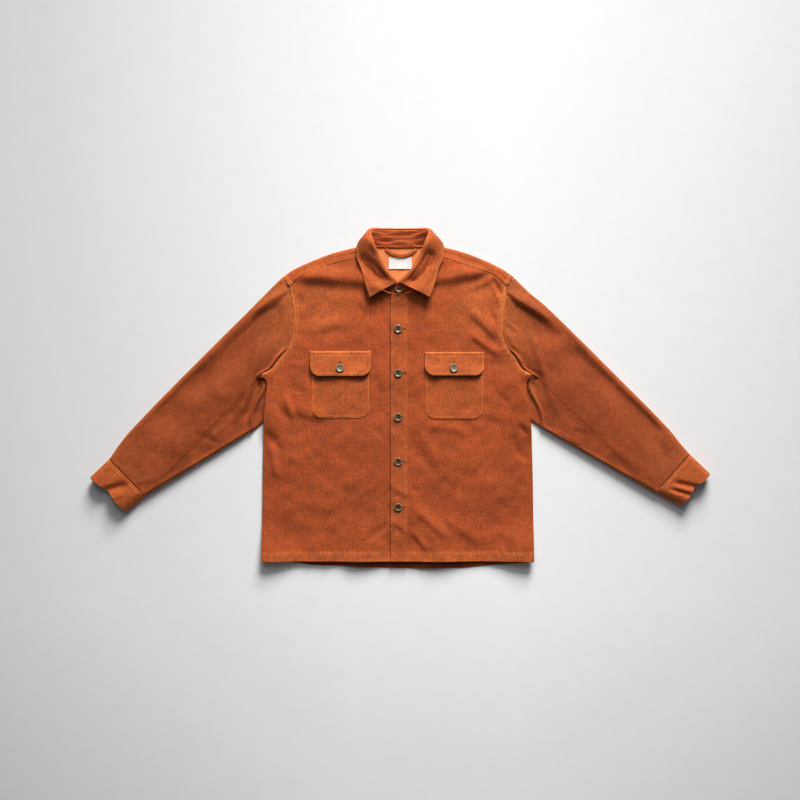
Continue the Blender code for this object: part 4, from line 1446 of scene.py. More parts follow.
@dataclass
class Sleeve:
    """A sleeve: one tube of cloth, folded along its top and sewn at the underarm."""

    finishes: Finishes
    side: Side
    rows: int = 66
    underarm_round: float = 4.5
    worn_end: float = 0.2
    cut: Cut = Cut(0.42, 0.56, 0.80)
    folds: dict = field(default_factory=lambda: {
        Side.RIGHT: (
            (-336, 548, -236, 607, 20, 7.5, -2, 0.3, 16), (-236, 604, -262, 580, 9, -3.5),
            (-252, 572, -566, 288, 38, -8.0, 0, 0.15, 50), (-276, 588, -572, 324, 16, 2.6, 0, 0.15, 20),
            (-250, 624, -294, 598, 7, -2.6), (-244, 524, -263, 462, 10, -4.0),
            (-250, 590, -262, 516, 14, 2.5), (-306, 500, -368, 288, 17, 7.5, -6),
            (-308, 400, -350, 306, 13, -6.0, -4), (-303, 392, -340, 304, 6, 3.4, -3),
            (-462, 292, -384, 260, 8, -1.3, 4), (-452, 302, -394, 276, 9, 1.5),
            (-420, 296, -398, 322, 7, 1.6), (-568, 242, -462, 226, 18, -1.2),
            (-500, 372, -430, 340, 30, 2.6), (-420, 400, -376, 356, 20, 2.0),
            (-606, 232, -572, 190, 12, -2.0), (-590, 172, -520, 192, 10, 2.0),
            (-380, 340, -430, 262, 14, -1.8),
        ),
        Side.LEFT: (
            (230, 602, 354, 528, 16, 8.0, -2, 0.3, 24), (232, 600, 262, 576, 9, -3.5),
            (222, 578, 372, 486, 34, -6.0, 0, 0.2, 26), (368, 486, 596, 266, 48, -6.0, 0, 0.15, 32),
            (384, 500, 604, 296, 20, 2.4, 0, 0.15, 14), (290, 532, 356, 310, 13, 4.2),
            (238, 526, 264, 506, 9, -3.0), (245, 510, 263, 466, 9, 3.0), (386, 294, 420, 276, 12, -2.0),
            (296, 402, 316, 320, 9, -2.4), (420, 410, 500, 330, 30, 2.4), (376, 420, 400, 340, 22, 1.8),
            (560, 290, 600, 210, 20, -2.2), (470, 262, 540, 200, 16, 2.0), (330, 300, 420, 250, 12, 1.8),
        ),
    })

    def build(self) -> Piece:
        """Make the sleeve."""
        plan = SleevePlan(self.side)
        lines_up = wale_lines(0.0, plan.LAST_RIB, (0.12, 0.5, plan.LAST_RIB - 1.0))
        signed = np.concatenate([-lines_up[::-1], lines_up[1:]])
        along = lines(0.0, 1.0, 1 / self.rows, [(0.0, 0.02, 0.005), (0.97, 1.0, 0.006)])
        u, t = np.meshgrid(signed, along, indexing="ij")
        across = np.minimum(plan.RIBS(np.abs(u)), plan.LAST)
        x, y, distance = plan.place(across, t)
        half = plan.half_height(x, y, across, t)
        lowest = smooth((across - 96) / 20)
        offset = half * rounding(distance, mix(np.maximum(half * 1.6, 6.0), self.underarm_round, lowest))
        upper = u > 0
        folds = crease_sum(self.folds[self.side], x, y)
        folds += 0.8 * Ripple(21 + self.side, 90)(x, y) + 0.2 * Ripple(31 + self.side, 34)(x, y)
        settle = smooth(distance / 16) * smooth(t / 0.03) * smooth((1 - t) / 0.05)
        rim = 2.2 * bell(plan.to_low - 4.0, 7.0) * lowest * smooth(t / 0.1)
        sag = plan.sag(half, plan.to_low, lowest)
        lower = np.maximum(half - sag - offset, 0.05)
        least = lower + np.minimum(2 * offset, 2 * CLOTH + 0.4)
        high = half - sag + offset + folds * settle + rim * rounding(distance, self.underarm_round)
        z = np.where(upper, np.maximum(high, least), lower)
        pile = pile_at(u)
        wear_and_highlight = self.wear_and_highlight(across, t, distance)
        bare = Surface.of(x, y, z, pile, wear_and_highlight)
        normals = bare.normals()
        normals = normals * np.where((normals[..., 2] > 0) == upper, 1.0, -1.0)[..., None]
        sunk = bare.moved(-WALE_DEPTH * (1 - pile) * smooth(distance / 3), normals)
        piece = tube("sleeve_tube_" + self.side.word, sunk, CLOTH)
        return dress(piece, "sleeve_" + self.side.word, self.finishes.sleeve, self.cut)

    def wear_and_highlight(self, across: Array, along: Array, distance: Array) -> Array:
        """Worn pile along the top fold and the seams, paler pile towards the cuff, and a painted highlight
        on the sleeve head.
        """
        # painted highlight: the sleeve head is made paler for a stretch from the armhole, where it catches
        # the light
        fold = 0.35 * bell(across, 5.0) + 0.45 * (1 - smooth(along / 0.24))
        fold = fold + self.worn_end * smooth((along - 0.8) / 0.2)
        return fold + 0.2 * bell(distance, 2.5) + 0.25 * bell(1 - along, 0.006)


@dataclass
class Cuff:
    """A cuff: a stiff flattened ring of doubled cloth with its ribs round the wrist."""

    finishes: Finishes
    side: Side
    round: float = 15.0
    low_round: float = 34.0
    around: int = 44
    mouth: float = 6.5
    heights: Curve = field(default_factory=lambda: Curve(((0, 23), (0.5, 27), (1, 30.5))))
    cut: Cut = Cut(0.23, 0.06, 1.0)
    dents: dict = field(default_factory=lambda: {
        Side.RIGHT: ((-668, 152, -592, 174, 12, -7.5, 0, 0.3, 14), (-648, 138, -600, 152, 9, 2.5)),
        Side.LEFT: ((600, 178, 682, 160, 9, -6.0, 0, 0.3, 12), (594, 164, 658, 145, 8, -4.6),
                    (606, 170, 656, 154, 6, 1.2)),
    })

    def build(self) -> Piece:
        """Make the cuff."""
        seam_top, seam_low, end_top, end_low = CUFFS[self.side].corners()
        depth = float(np.linalg.norm(end_top - seam_top))
        deep = wale_lines(SEAM_GAP, depth, (0.8, 1.8, depth - 1.8, depth - 0.8))
        ring = np.linspace(0, 2, 2 * self.around + 1)
        eased = np.where(ring <= 1, (1 - np.cos(math.pi * ring)) / 2,
                         1 + (1 - np.cos(math.pi * (ring - 1))) / 2)
        c, d = np.meshgrid(mix(ring, eased, 0.75), deep, indexing="ij")
        share = np.where(c <= 1, c, 2 - c)
        along = d / depth
        top = mix(seam_top, end_top, along[..., None])
        low = mix(seam_low, end_low, along[..., None])
        plan = mix(top, low, share[..., None])
        width = np.linalg.norm(low - top, axis=-1)
        half = self.heights(along) / 2
        distance = np.minimum(share, 1 - share) * width
        low_side = smooth((share - 0.5) / 0.3)
        offset = half * rounding(distance, mix(self.round, self.low_round, low_side * along))
        upper = c <= 1
        pulled = self.mouth * bell(share - 0.47, 0.2) * along ** 2
        plan = plan + (seam_top - end_top) / depth * pulled[..., None]
        x, y = plan[..., 0], plan[..., 1]
        dents = crease_sum(self.dents[self.side], x, y) * smooth(distance / 12)
        sag = SleevePlan(self.side).sag(half, distance, smooth((share - 0.5) / 0.2) * (1 - 0.6 * along))
        z = np.where(upper, half - sag + offset + dents, np.maximum(half - sag - offset, 0.6))
        pile = pile_at(d)
        bare = Surface.of(x, y, z, pile, self.wear_and_highlight(d, depth, distance))
        normals = bare.normals()
        outwards = np.where((normals[..., 2] > 0) == upper, 1.0, -1.0)
        edgewise = np.sign(normals[..., 1] * (1 - 2 * (share > 0.5)))
        normals = normals * np.where(distance > 0.5, outwards, edgewise)[..., None]
        relief = (-1.5 * WALE_DEPTH * (1 - pile) - 0.9 * (1 - rounding(depth - d, 1.8))
                  - 0.5 * (1 - rounding(d, 1.2)))
        for place in CUFF_ROWS:
            relief = relief - 0.2 * bell(d - place, 1.3)
        relief = relief + 0.5 * bell(d - 7.0, 2.0) + 0.3 * bell(d - 1.8, 1.5)
        sunk = bare.moved(relief * smooth(distance / 3), normals)
        piece = tube("cuff_ring_" + self.side.word, sunk, DOUBLE)
        return dress(piece, "cuff_" + self.side.word, self.finishes.doubled, self.cut)

    def wear_and_highlight(self, deep: Array, depth: float, distance: Array) -> Array:
        """Rubbed edges and stitched seam."""
        seam = 0.3 + 0.6 * bell(deep - 1.2, 1.8) + 0.45 * bell(deep - 7.0, 1.8)
        return seam + 0.5 * bell(depth - deep, 1.8) + 0.2 * bell(distance, 3)


class CollarForm:
    """The collar's lines round the neck, from the wearer's right front to the left."""

    # seam, top, bend and edge as (out, y, z), and how far the wearer's left side laps over the right
    STATIONS = (
        ((7, 596.6, 7.4), (1.5, 620, 21), (29, 607, 24), (63, 586, 20), 3.5),
        ((36, 605.6, 9.5), (19, 636, 24), (38, 627, 26), (73, 617, 19.5), 3.0),
        ((56, 627.5, 12.5), (33, 654, 27), (52, 649, 26), (81, 648, 18.5), 2.0),
        ((74, 670, 15.0), (45, 680, 29), (66, 679, 26), (91, 678, 17.5), 0.5),
        ((75, 698, 14.0), (55, 706, 34), (80, 725, 30), (89, 707, 9), 0),
        ((60, 701, 7.2), (60, 731, 21), (66, 751, 11), (58, 707, 1.8), 0),
        ((38, 698, 6.5), (38, 736, 13), (38, 752, 6), (34, 704, 1.8), 0),
        ((0, 697.3, 6.5), (0, 736, 11.5), (0, 752, 4.5), (0, 703, 1.8), 0),
    )
    SPREAD = {Side.RIGHT: 1.0, Side.LEFT: 1.1}
    LAP_SEAM = ((16, 597.2, 7.4), (-16, 597.2, 10.9))
    LAP_TOP = ((16, 611, 10), (-16, 611, 13.5))
    LEAF_GAP = 1.3
    FOLD_RISE = 2.4
    FOLD_OFFSET = 3.9
    FOLD = ((0, 0), (0.85, 0.08), (1.25, 0.5), (0.75, 0.95), (0, 1.15))
    TANGENT = 0.3

    def __init__(self) -> None:
        """Gather each line's points from the stations."""
        self.lines = {}
        for index, name in enumerate(("seam", "top", "bend", "edge")):
            right = [self.point(Side.RIGHT, s[index], s[4]) for s in self.STATIONS]
            left = [self.point(Side.LEFT, s[index], s[4]) for s in self.STATIONS[:-1]]
            self.lines[name] = np.array(right + left[::-1])
        self.last = len(self.lines["top"]) - 1

    def point(self, side: Side, values: tuple, over: float) -> tuple[float, float, float]:
        """A station's size as a point on one side."""
        raised = over if side == Side.LEFT else 0.0
        return side * values[0] * self.SPREAD[side], values[1], values[2] + raised

    @staticmethod
    def curve(points: Array, position: Array) -> Array:
        """A smooth curve through points, read at places counted in points."""
        last = len(points) - 1
        index = np.clip(position.astype(int), 0, last - 1)
        share = (position - index).reshape(index.shape + (1,) * (points.ndim - 1))
        start, end = points[index], points[index + 1]
        near = (end - points[np.maximum(index - 1, 0)]) * 0.5
        far = (points[np.minimum(index + 2, last)] - start) * 0.5
        return hermite(start, near, end, far, share)

    def leaf(self, position: Array) -> Array:
        """Cross-sections of the leaf: over the fold, then out to the edge.

        Args:
            position: places round the collar.

        Returns:
            Points as (position, step, xyz).
        """
        seam, top, bend, edge = (self.curve(self.lines[name], position)
                                 for name in ("seam", "top", "bend", "edge"))
        up = unit(top - seam)
        ahead = self.curve(self.lines["top"], np.minimum(position + self.TANGENT, self.last))
        behind = self.curve(self.lines["top"], np.maximum(position - self.TANGENT, 0))
        away = unit(np.cross(up, ahead - behind))
        turns = np.array([top + up * (self.LEAF_GAP if rise == 0 and out == 0 else self.FOLD_RISE * rise)
                          + away * self.FOLD_OFFSET * out for rise, out in self.FOLD])
        rolled = self.curve(turns, np.linspace(0, len(turns) - 1, 17))
        start = turns[-1]
        share = np.linspace(0, 1, 41)[1:, None, None]
        rest = 1 - share
        fall = start * rest ** 2 + bend * 2 * rest * share + edge * share ** 2
        return np.concatenate([rolled, fall]).transpose(1, 0, 2)


def resample(sections: Array, distances: Array) -> tuple[Array, Array]:
    """Walk along cross-sections to given distances, stopping at their ends.

    Args:
        sections: points as (section, step, xyz).
        distances: distances from each section's start.

    Returns:
        Points as (section, distance, xyz), and each section's length.
    """
    steps = np.linalg.norm(np.diff(sections, axis=1), axis=2)
    along = np.concatenate([np.zeros((len(sections), 1)), np.cumsum(steps, axis=1)], axis=1)
    places = np.empty((len(sections), len(distances), 3))
    for number, section in enumerate(sections):
        for part in range(3):
            places[number, :, part] = np.interp(distances, along[number], section[:, part])
    return places, along[:, -1]


@dataclass
class Collar:
    """Shirt collar: a stand round the neck and a leaf turned down over it, both of doubled cloth."""

    finishes: Finishes
    thread: Thread
    columns: int = 112
    stand_rows: float = 44.0
    stitch_inset: float = 5.5
    leaf_reach: float = 92.0
    station_apart: float = 30.0
    folds: tuple = (
        (-100, 684, -18, 612, 22, -8.5, 0, 0.25, 24), (86, 690, 20, 604, 22, -11.0, 0, 0.25, 24),
        (-76, 612, -28, 606, 14, 2.0),
    )
    lifts: tuple = ((-62, 592, -20, 610, 42, 4.0), (66, 590, 20, 612, 42, 4.0))
    stand_cut: Cut = Cut(0.46, 0.042, 0.9)
    leaf_cut: Cut = Cut(0.47, 0.085, 0.8)

    def build(self) -> list[Piece]:
        """Make the stand and the leaf."""
        form = CollarForm()
        return [self.stand(form), self.leaf(form)]

    def wall(self, name: str, middle: Array, pile: Array, wear_and_highlight: Array, soft: Array) -> Piece:
        """A doubled wall about a surface, with pile on both faces.

        Args:
            name: the piece's name.
            middle: the surface half-way through the cloth.
            pile: pile at each corner.
            wear_and_highlight: wear at each corner.
            soft: 0 at the edges, 1 inside them, where the wall has its full thickness.

        Returns:
            The piece.
        """
        surface = Surface(middle, pile, np.clip(wear_and_highlight, 0, 1))
        normals = surface.normals()
        half = DOUBLE / 2 * soft - WALE_DEPTH * 0.7 * (1 - pile)
        outer = surface.moved(half, normals)
        inner = surface.moved(-half, normals)
        return slab(name, outer, inner)

    def stand(self, form: CollarForm) -> Piece:
        """Collar stand, with its ribs round the neck."""
        seam = np.concatenate([form.LAP_SEAM[:1], form.lines["seam"], form.LAP_SEAM[1:]])
        top = np.concatenate([form.LAP_TOP[:1], form.lines["top"], form.LAP_TOP[1:]])
        position = np.linspace(0, len(seam) - 1, self.columns + 1)
        low, high = form.curve(seam, position), form.curve(top, position)
        tall = np.linalg.norm(high - low, axis=1)
        rise = wale_lines(0.0, self.stand_rows, (0.5, 1.4))
        share = np.minimum(rise[None, :] / tall[:, None], 1.0)[..., None]
        middle = mix(low[:, None, :], high[:, None, :], share)
        pile = np.broadcast_to(pile_at(rise), share.shape[:2]).copy()
        inside = np.minimum(rise[None, :], tall[:, None] - rise[None, :])
        soft = 0.45 + 0.55 * rounding(inside, 1.4)
        bend = 1.3 * Ripple(77, 34)(low[:, :1] * 0.6, rise[None, :] * 2.4) * smooth(inside / 6)
        middle = middle + np.array([0.0, 1.0, 1.0]) * bend[..., None]
        wear_and_highlight = 0.05 + 0.55 * bell(tall[:, None] - rise[None, :], 3)
        piece = self.wall("collar_stand_band", middle, pile, wear_and_highlight, soft)
        return dress(piece, "collar_stand", self.finishes.doubled,
                     self.stand_cut)

    def leaf(self, form: CollarForm) -> Piece:
        """Collar leaf, turned over the stand, from point to point."""
        position = np.linspace(0, form.last, self.columns + 1)
        sections = form.leaf(position)
        distances = wale_lines(0.0, self.leaf_reach)
        middle, lengths = resample(sections, distances)
        normals = Surface(middle, middle[..., 0], middle[..., 0]).normals()
        upward = normals * np.sign(normals[:, 20:, 2].mean())
        fallen = smooth((distances - 8) / 8)
        raised = crease_sum(self.folds, middle[..., 0], middle[..., 1]) * fallen
        raised += hump_sum(self.lifts, middle[..., 0], middle[..., 1]) * smooth((distances - 14) / 40)
        middle = middle + upward * raised[..., None]
        to_edge = np.clip(lengths[:, None] - distances[None, :], 0, None)
        gone = distances[None, :] >= lengths[:, None]
        to_front = np.minimum(position, form.last - position)[:, None] * self.station_apart
        inside = np.minimum(to_edge, to_front)
        soft = 0.4 + 0.6 * rounding(inside, 1.8)
        pile = np.where(gone, 1.0, pile_at(distances)[None, :])
        stitched = -0.45 * bell(inside - self.stitch_inset, 1.5)
        # the base 0.25 makes the whole leaf paler: partly a paler tone of the leaf, partly a painted
        # highlight for the light on its outer faces; the edges and the stitch line are worn paler on top
        wear_and_highlight = 0.25 + 0.75 * bell(inside, 2.2) + 0.2 * bell(inside - self.stitch_inset, 2.0)
        wear_and_highlight += 0.3 * bell(distances[None, :] - 5, 4)
        piece = self.wall("collar_leaf_fold", middle, pile, wear_and_highlight, soft + stitched * 0.5)
        self.sew(middle, lengths, distances)
        return dress(piece, "collar_leaf", self.finishes.doubled,
                     self.leaf_cut)

    def sew(self, middle: Array, lengths: Array, distances: Array) -> None:
        """Topstitch the leaf a little inside its edges."""
        surface = Surface(middle, middle[..., 0], middle[..., 0])
        normals = surface.normals()
        outer = surface.moved(DOUBLE / 2 - 0.35, normals)
        last = len(middle) - 1
        columns = np.arange(3, last - 2, dtype=float)
        inset = np.interp(lengths[3:last - 2] - self.stitch_inset, distances, np.arange(len(distances)))
        points = outer.line(columns, inset)
        ups = Surface(normals, surface.pile, surface.wear_and_highlight).line(columns, inset)
        self.thread.row(points, unit(ups), rise=0.15)


@dataclass
class Placket:
    """Placket: the folded strip that carries the buttonholes down the upper front."""

    finishes: Finishes
    thread: Thread
    left: float = -17.0
    right: float = 20.3
    stitch_inset: float = 4.0
    thick: float = 2.6
    cut: Cut = Cut(0.08, 0.62, 0.5)

    def top(self, x: Array, y: Array) -> Array:
        """Outer face of the strip."""
        return LAY.front_under(Side.LEFT, x, y) + CLOTH + SEAM_GAP + self.thick

    def build(self) -> Piece:
        """Make the strip."""
        out = wale_lines(self.left, self.right, (self.left + 0.5, self.left + 1.4, self.right - 1.4,
                                                 self.right - 0.5))
        low = lines(0.0, 562.0, 5.0, [(0.0, 3.0, 0.8), (3.0, 26.0, 2.4)])
        shares = lines(0.0, 1.0, 0.12)[1:]
        u, row = np.meshgrid(out, np.arange(len(low) + len(shares)), indexing="ij")
        v = np.concatenate([low, np.full(len(shares), 562.0)])[row]
        share = np.concatenate([np.zeros(len(low)), shares])[row]
        top = LAY.front_seam(u) - SEAM_GAP
        y = mix(v, top, share)
        edge = np.minimum(u - self.left, self.right - u)
        relief = np.zeros_like(u)
        wear_and_highlight = 0.15 + 0.45 * bell(edge, 1.8)
        for place in self.stitch_lines():
            route = Route([(place, -5), (place, 620)])
            relief = relief + Topstitch(sink=0.3, pucker=0.45, wave=17, spread=6).field(route, u, y)
            wear_and_highlight = wear_and_highlight + 0.2 * bell(u - place, 1.8)
        hem = Route([(self.left, LAY.hem_band), (self.right, LAY.hem_band)])
        relief = relief + Topstitch(sink=0.4, pucker=0.4, wave=12).field(hem, u, y)
        turned = 1 - rounding(y, 1.6)
        soft = -1.0 * (1 - rounding(edge, 1.5)) - 1.0 * turned
        pile = pile_at(u)
        under = self.top(u, y) - self.thick
        outer = Surface.of(u, y, under + self.thick - WALE_DEPTH * (1 - pile) + relief + soft, pile, wear_and_highlight)
        inner = Surface.of(u, y, under, 1.0)
        piece = slab("placket_strip", outer, inner)
        for place in self.stitch_lines():
            up = np.linspace(2, 588, 150)
            self.thread.row(spots(place, up, self.top(place, up) - 0.45))
        return dress(piece, "placket", self.finishes.single, self.cut)

    def stitch_lines(self) -> tuple[float, float]:
        """Where the two rows of stitching run."""
        return self.left + self.stitch_inset, self.right - self.stitch_inset


@dataclass(frozen=True)
class PocketPlan:
    """Outline of one chest pocket and its flap."""

    inner: float
    outer: float
    bottom: float
    flap_inner: float
    flap_outer: float
    flap_top: float
    flap_bottom: float
    button_x: float
    button_y: float = 430.0


POCKETS = {
    Side.RIGHT: PocketPlan(-65, -192, 318, -61, -196, 468, 412, -129),
    Side.LEFT: PocketPlan(61, 189, 316, 59, 191, 466, 413, 124),
}


@dataclass(frozen=True)
class Patch:
    """A flat shape with round lower corners: its sides, and distances inside it."""

    low_x: float
    high_x: float
    bottom: float
    top: float
    corner: float = 22.0

    def inside(self, x: Array, y: Array) -> Array:
        """Distance in from the sides and the rounded bottom; the top edge doesn't count."""
        side = np.minimum(x - self.low_x, self.high_x - x)
        up = y - self.bottom
        in_corner = (side < self.corner) & (up < self.corner)
        curved = self.corner - np.hypot(self.corner - side, self.corner - up)
        return np.where(in_corner, curved, np.minimum(side, up))

    def lowest(self, x: Array) -> Array:
        """The bottom edge's height at x."""
        side = np.clip(np.minimum(x - self.low_x, self.high_x - x), 0, self.corner)
        return self.bottom + self.corner - np.sqrt(self.corner ** 2 - (self.corner - side) ** 2)

    def route(self, inset: float) -> Route:
        """A row of stitches inside the edge, down one side, round and up the other."""
        radius = self.corner - inset
        low, high = self.low_x + inset, self.high_x - inset
        centre_y = self.bottom + self.corner
        angle = np.linspace(0, math.pi / 2, 10)
        first = spots(low + radius * (1 - np.cos(angle)), centre_y - radius * np.sin(angle))
        second = spots(high - radius * (1 - np.sin(angle)), centre_y - radius * np.cos(angle))
        return Route([(low, self.top - 1), *first, *second, (high, self.top - 1)])


@dataclass
class Pocket:
    """A chest pocket with its buttoned flap."""

    finishes: Finishes
    side: Side
    thread: Thread
    thick: float = 1.5
    flap_thick: float = 2.2
    flap_rise: float = 5.2
    flap_curl: float = 3.2
    climb: float = 11.0
    rows_of_stitches: tuple = (2.0, 7.5)
    cut: Cut = Cut(0.15, 0.165, 0.8)
    flap_cut: Cut = Cut(0.14, 0.06, 0.94)

    def __post_init__(self) -> None:
        """Work out both outlines."""
        self.plan = POCKETS[self.side]
        p = self.plan
        self.bag = Patch(min(p.inner, p.outer), max(p.inner, p.outer), p.bottom, p.flap_top - 13)
        self.flap = Patch(min(p.flap_inner, p.flap_outer), max(p.flap_inner, p.flap_outer), p.flap_bottom,
                          p.flap_top, 21.0)

    def build(self) -> list[Piece]:
        """Make the pocket and its flap."""
        bag = self.patch("pocket_patch_" + self.side.word, self.bag, self.thick, lambda y: SEAM_GAP, False)
        dress(bag, "pocket_" + self.side.word, self.finishes.single, self.cut)
        flap = self.patch("pocket_flap_" + self.side.word, self.flap, self.flap_thick, self.flap_level, True)
        dress(flap, "flap_" + self.side.word, self.finishes.doubled,
              self.flap_cut)
        return [bag, flap]

    def flap_level(self, y: Array) -> Array:
        """Underside of the flap above the front."""
        below = self.plan.flap_top - y
        on_pocket = (self.thick + SEAM_GAP) * smooth(below / self.climb)
        return SEAM_GAP + on_pocket + self.flap_rise * (below / (self.flap.top - self.flap.bottom)) ** 2

    def curl(self, x: Array, y: Array) -> Array:
        """How far the flap's lower edge stands up on both sides of its button."""
        below = np.clip((self.plan.flap_top - y) / (self.flap.top - self.flap.bottom), 0, 1)
        return self.flap_curl * below ** 2 * smooth(np.abs(x - self.plan.button_x) / 58)

    def patch(self, name: str, shape: Patch, thick: float, level: Callable, is_flap: bool) -> Piece:
        """One patch, with its edge stitching.

        Args:
            name: the piece's name.
            shape: its outline.
            thick: its thickness.
            level: its underside above the front, from y.
            is_flap: whether it is a flap, with a stitched ridge along its top.

        Returns:
            The piece.
        """
        edges = [shape.low_x + d for d in (0.5, 1.3, 2.4)] + [shape.high_x - d for d in (0.5, 1.3, 2.4)]
        out = wale_lines(shape.low_x, shape.high_x, edges)
        up = lines(shape.bottom, shape.top, 5.0, [(shape.bottom, shape.bottom + 3, 0.8),
                                                  (shape.bottom + 3, shape.bottom + 26, 1.9),
                                                  (shape.top - 12, shape.top, 1.6)])
        x, v = np.meshgrid(out, up, indexing="ij")
        y = np.maximum(v, shape.lowest(x))
        inside = shape.inside(x, y)
        pile = pile_at(x)
        soft = -(thick - 0.5) * (1 - rounding(inside, 1.7))
        wear_and_highlight = (0.32 if is_flap else 0.2) + 0.8 * bell(inside, 2.6)
        relief = 0.5 * bell(inside - 4.4, 2.2)
        for inset in self.rows_of_stitches:
            route = shape.route(inset)
            relief = relief + Topstitch(sink=0.5, pucker=0.3, wave=13, spread=4).field(route, x, y)
            wear_and_highlight = wear_and_highlight + 0.16 * bell(inside - inset, 1.6)
            sewn_x, sewn_y = route.every(1.5).T
            ground = LAY.front_top(sewn_x, sewn_y) + level(sewn_y) + thick - 0.4
            if is_flap:
                ground = ground + self.curl(sewn_x, sewn_y)
            self.thread.row(spots(sewn_x, sewn_y, ground))
        if is_flap:
            below = shape.top - y
            soft = soft - (thick - 0.6) * (1 - rounding(below, 1.6))
            relief = relief - 0.9 * bell(below - 7.4, 1.8) + 0.7 * bell(below - 3.6, 2.4)
            wear_and_highlight = wear_and_highlight + 0.6 * bell(below - 3.0, 2.6)
            across = np.linspace(shape.low_x + 2, shape.high_x - 2, 90)
            ridge = shape.top - 7.2
            ground = LAY.front_top(across, ridge) + level(ridge) + thick - 0.45
            self.thread.row(spots(across, ridge, ground))
        base = LAY.front_top(x, y) + level(y)
        if is_flap:
            ripple = 0.4 * Ripple(50 + self.side, 40)(x, y) * smooth((shape.top - y) / 30)
            base = base + self.curl(x, y) + ripple
        outer = Surface.of(x, y, base + thick - WALE_DEPTH * (1 - pile) + relief + soft, pile, wear_and_highlight)
        inner = Surface.of(x, y, base, 1.0)
        return slab(name, outer, inner)

    def button_seat(self) -> float:
        """Height that the flap's button sits at."""
        at = np.array(self.plan.button_x), np.array(self.plan.button_y)
        return float(LAY.front_top(*at) + self.flap_thick + self.flap_level(at[1] - Button.radius))


@dataclass
class Button:
    """Four-hole sewn-on button: a turned rim about a dished middle."""

    finishes: Finishes
    node: str
    x: float
    y: float
    seat: float
    radius: float = 9.25
    thick: float = 3.2
    dish: float = 6.2
    steps: int = 40
    hole_radius: float = 1.0
    hole_offset: float = 1.7
    tilt: float = 0.0

    def profile(self) -> list[tuple[float, float]]:
        """Half the button's section as (radius, height), from the middle below to the middle above."""
        r, t, d = self.radius, self.thick, self.dish
        return [
            (0, 0.4), (d, 0.2), (r - 1.6, 0), (r - 0.7, 0.35), (r - 0.1, 1.0), (r, 1.6), (r - 0.15, t - 0.9),
            (r - 0.6, t - 0.25), (r - 1.3, t), (r - 2.2, t - 0.1), (d, t - 0.5), (d - 0.7, t - 1.05),
            (d - 1.6, t - 1.4), (d - 3.4, t - 1.6), (0, t - 1.65),
        ]

    def build(self) -> Piece:
        """Turn the button, cut its holes and finish it."""
        bm = bmesh.new()
        verts = [bm.verts.new((radius, 0, z)) for radius, z in self.profile()]
        edges = [bm.edges.new(pair) for pair in zip(verts, verts[1:])]
        bmesh.ops.spin(bm, geom=verts + edges, cent=(0, 0, 0), axis=(0, 0, 1), angle=2 * math.pi,
                       steps=self.steps, use_merge=True)
        bmesh.ops.remove_doubles(bm, verts=bm.verts[:], dist=0.001)
        bmesh.ops.recalc_face_normals(bm, faces=bm.faces[:])
        mesh = to_mesh(bm, self.node + "_turned")
        piece = add_object(self.node + "_turned", mesh)
        self.cut_holes(piece)
        self.colour_rings(piece.data)
        self.settle(piece.data)
        piece.data.shade_smooth()
        piece.data.set_sharp_from_angle(angle=math.radians(40))
        horn = self.finishes.pale_horn if self.node.startswith("pocket") else self.finishes.horn
        return dress(piece, self.node, (horn,), slot=Slot.HORN)

    def cut_holes(self, piece: Piece) -> None:
        """Cut the four thread holes."""
        bm = bmesh.new()
        for across in (-self.hole_offset, self.hole_offset):
            for up in (-self.hole_offset, self.hole_offset):
                bmesh.ops.create_cone(bm, cap_ends=True, segments=14, radius1=self.hole_radius,
                                      radius2=self.hole_radius, depth=4 * self.thick,
                                      matrix=Matrix.Translation((across, up, self.thick / 2)))
        cutter_mesh = to_mesh(bm, "holes")
        cutter = add_object("holes", cutter_mesh)
        cut = piece.modifiers.new("holes", "BOOLEAN")
        cut.operation = "DIFFERENCE"
        cut.object = cutter
        evaluated = piece.evaluated_get(bpy.context.evaluated_depsgraph_get())
        drilled = bpy.data.meshes.new_from_object(evaluated)
        piece.modifiers.clear()
        piece.data = drilled
        bpy.data.objects.remove(cutter)

    def colour_rings(self, mesh: Mesh) -> None:
        """Mark the dished middle for the finish: 1 in the middle, 0 at the rim."""
        places = np.zeros(len(mesh.vertices) * 3, np.float32)
        mesh.vertices.foreach_get("co", places)
        away = np.hypot(*places.reshape(-1, 3)[:, :2].T)
        ring = mesh.attributes.new("pile", "FLOAT", "POINT")
        ring.data.foreach_set("value", (1 - smooth((away - 3.6) / 3.2)).astype(np.float32))

    def settle(self, mesh: Mesh) -> None:
        """Tilt the button a little and put it in its place."""
        shift = ORIGIN.metres(np.array((self.x, self.y, self.seat + SEAM_GAP)))
        turn = Matrix.Rotation(math.radians(self.tilt), 4, "X") @ Matrix.Rotation(self.tilt, 4, "Z")
        mesh.transform(Matrix.Translation(Vector(shift)) @ Matrix.Scale(MM, 4) @ turn)

    def sew(self, thread: Thread) -> None:
        """Bind the button with two bars of thread through its holes."""
        height = self.seat + SEAM_GAP + self.thick - 1.3
        middle = [(self.x, self.y + up, height) for up in (-self.hole_offset, self.hole_offset)]
        ahead = np.broadcast_to((1.0, 0.0, 0.0), (2, 3))
        up = np.broadcast_to((0.0, 0.0, 1.0), (2, 3))
        thread.lay(np.array(middle), ahead, up, 2 * self.hole_offset + 1.2, 0.55)


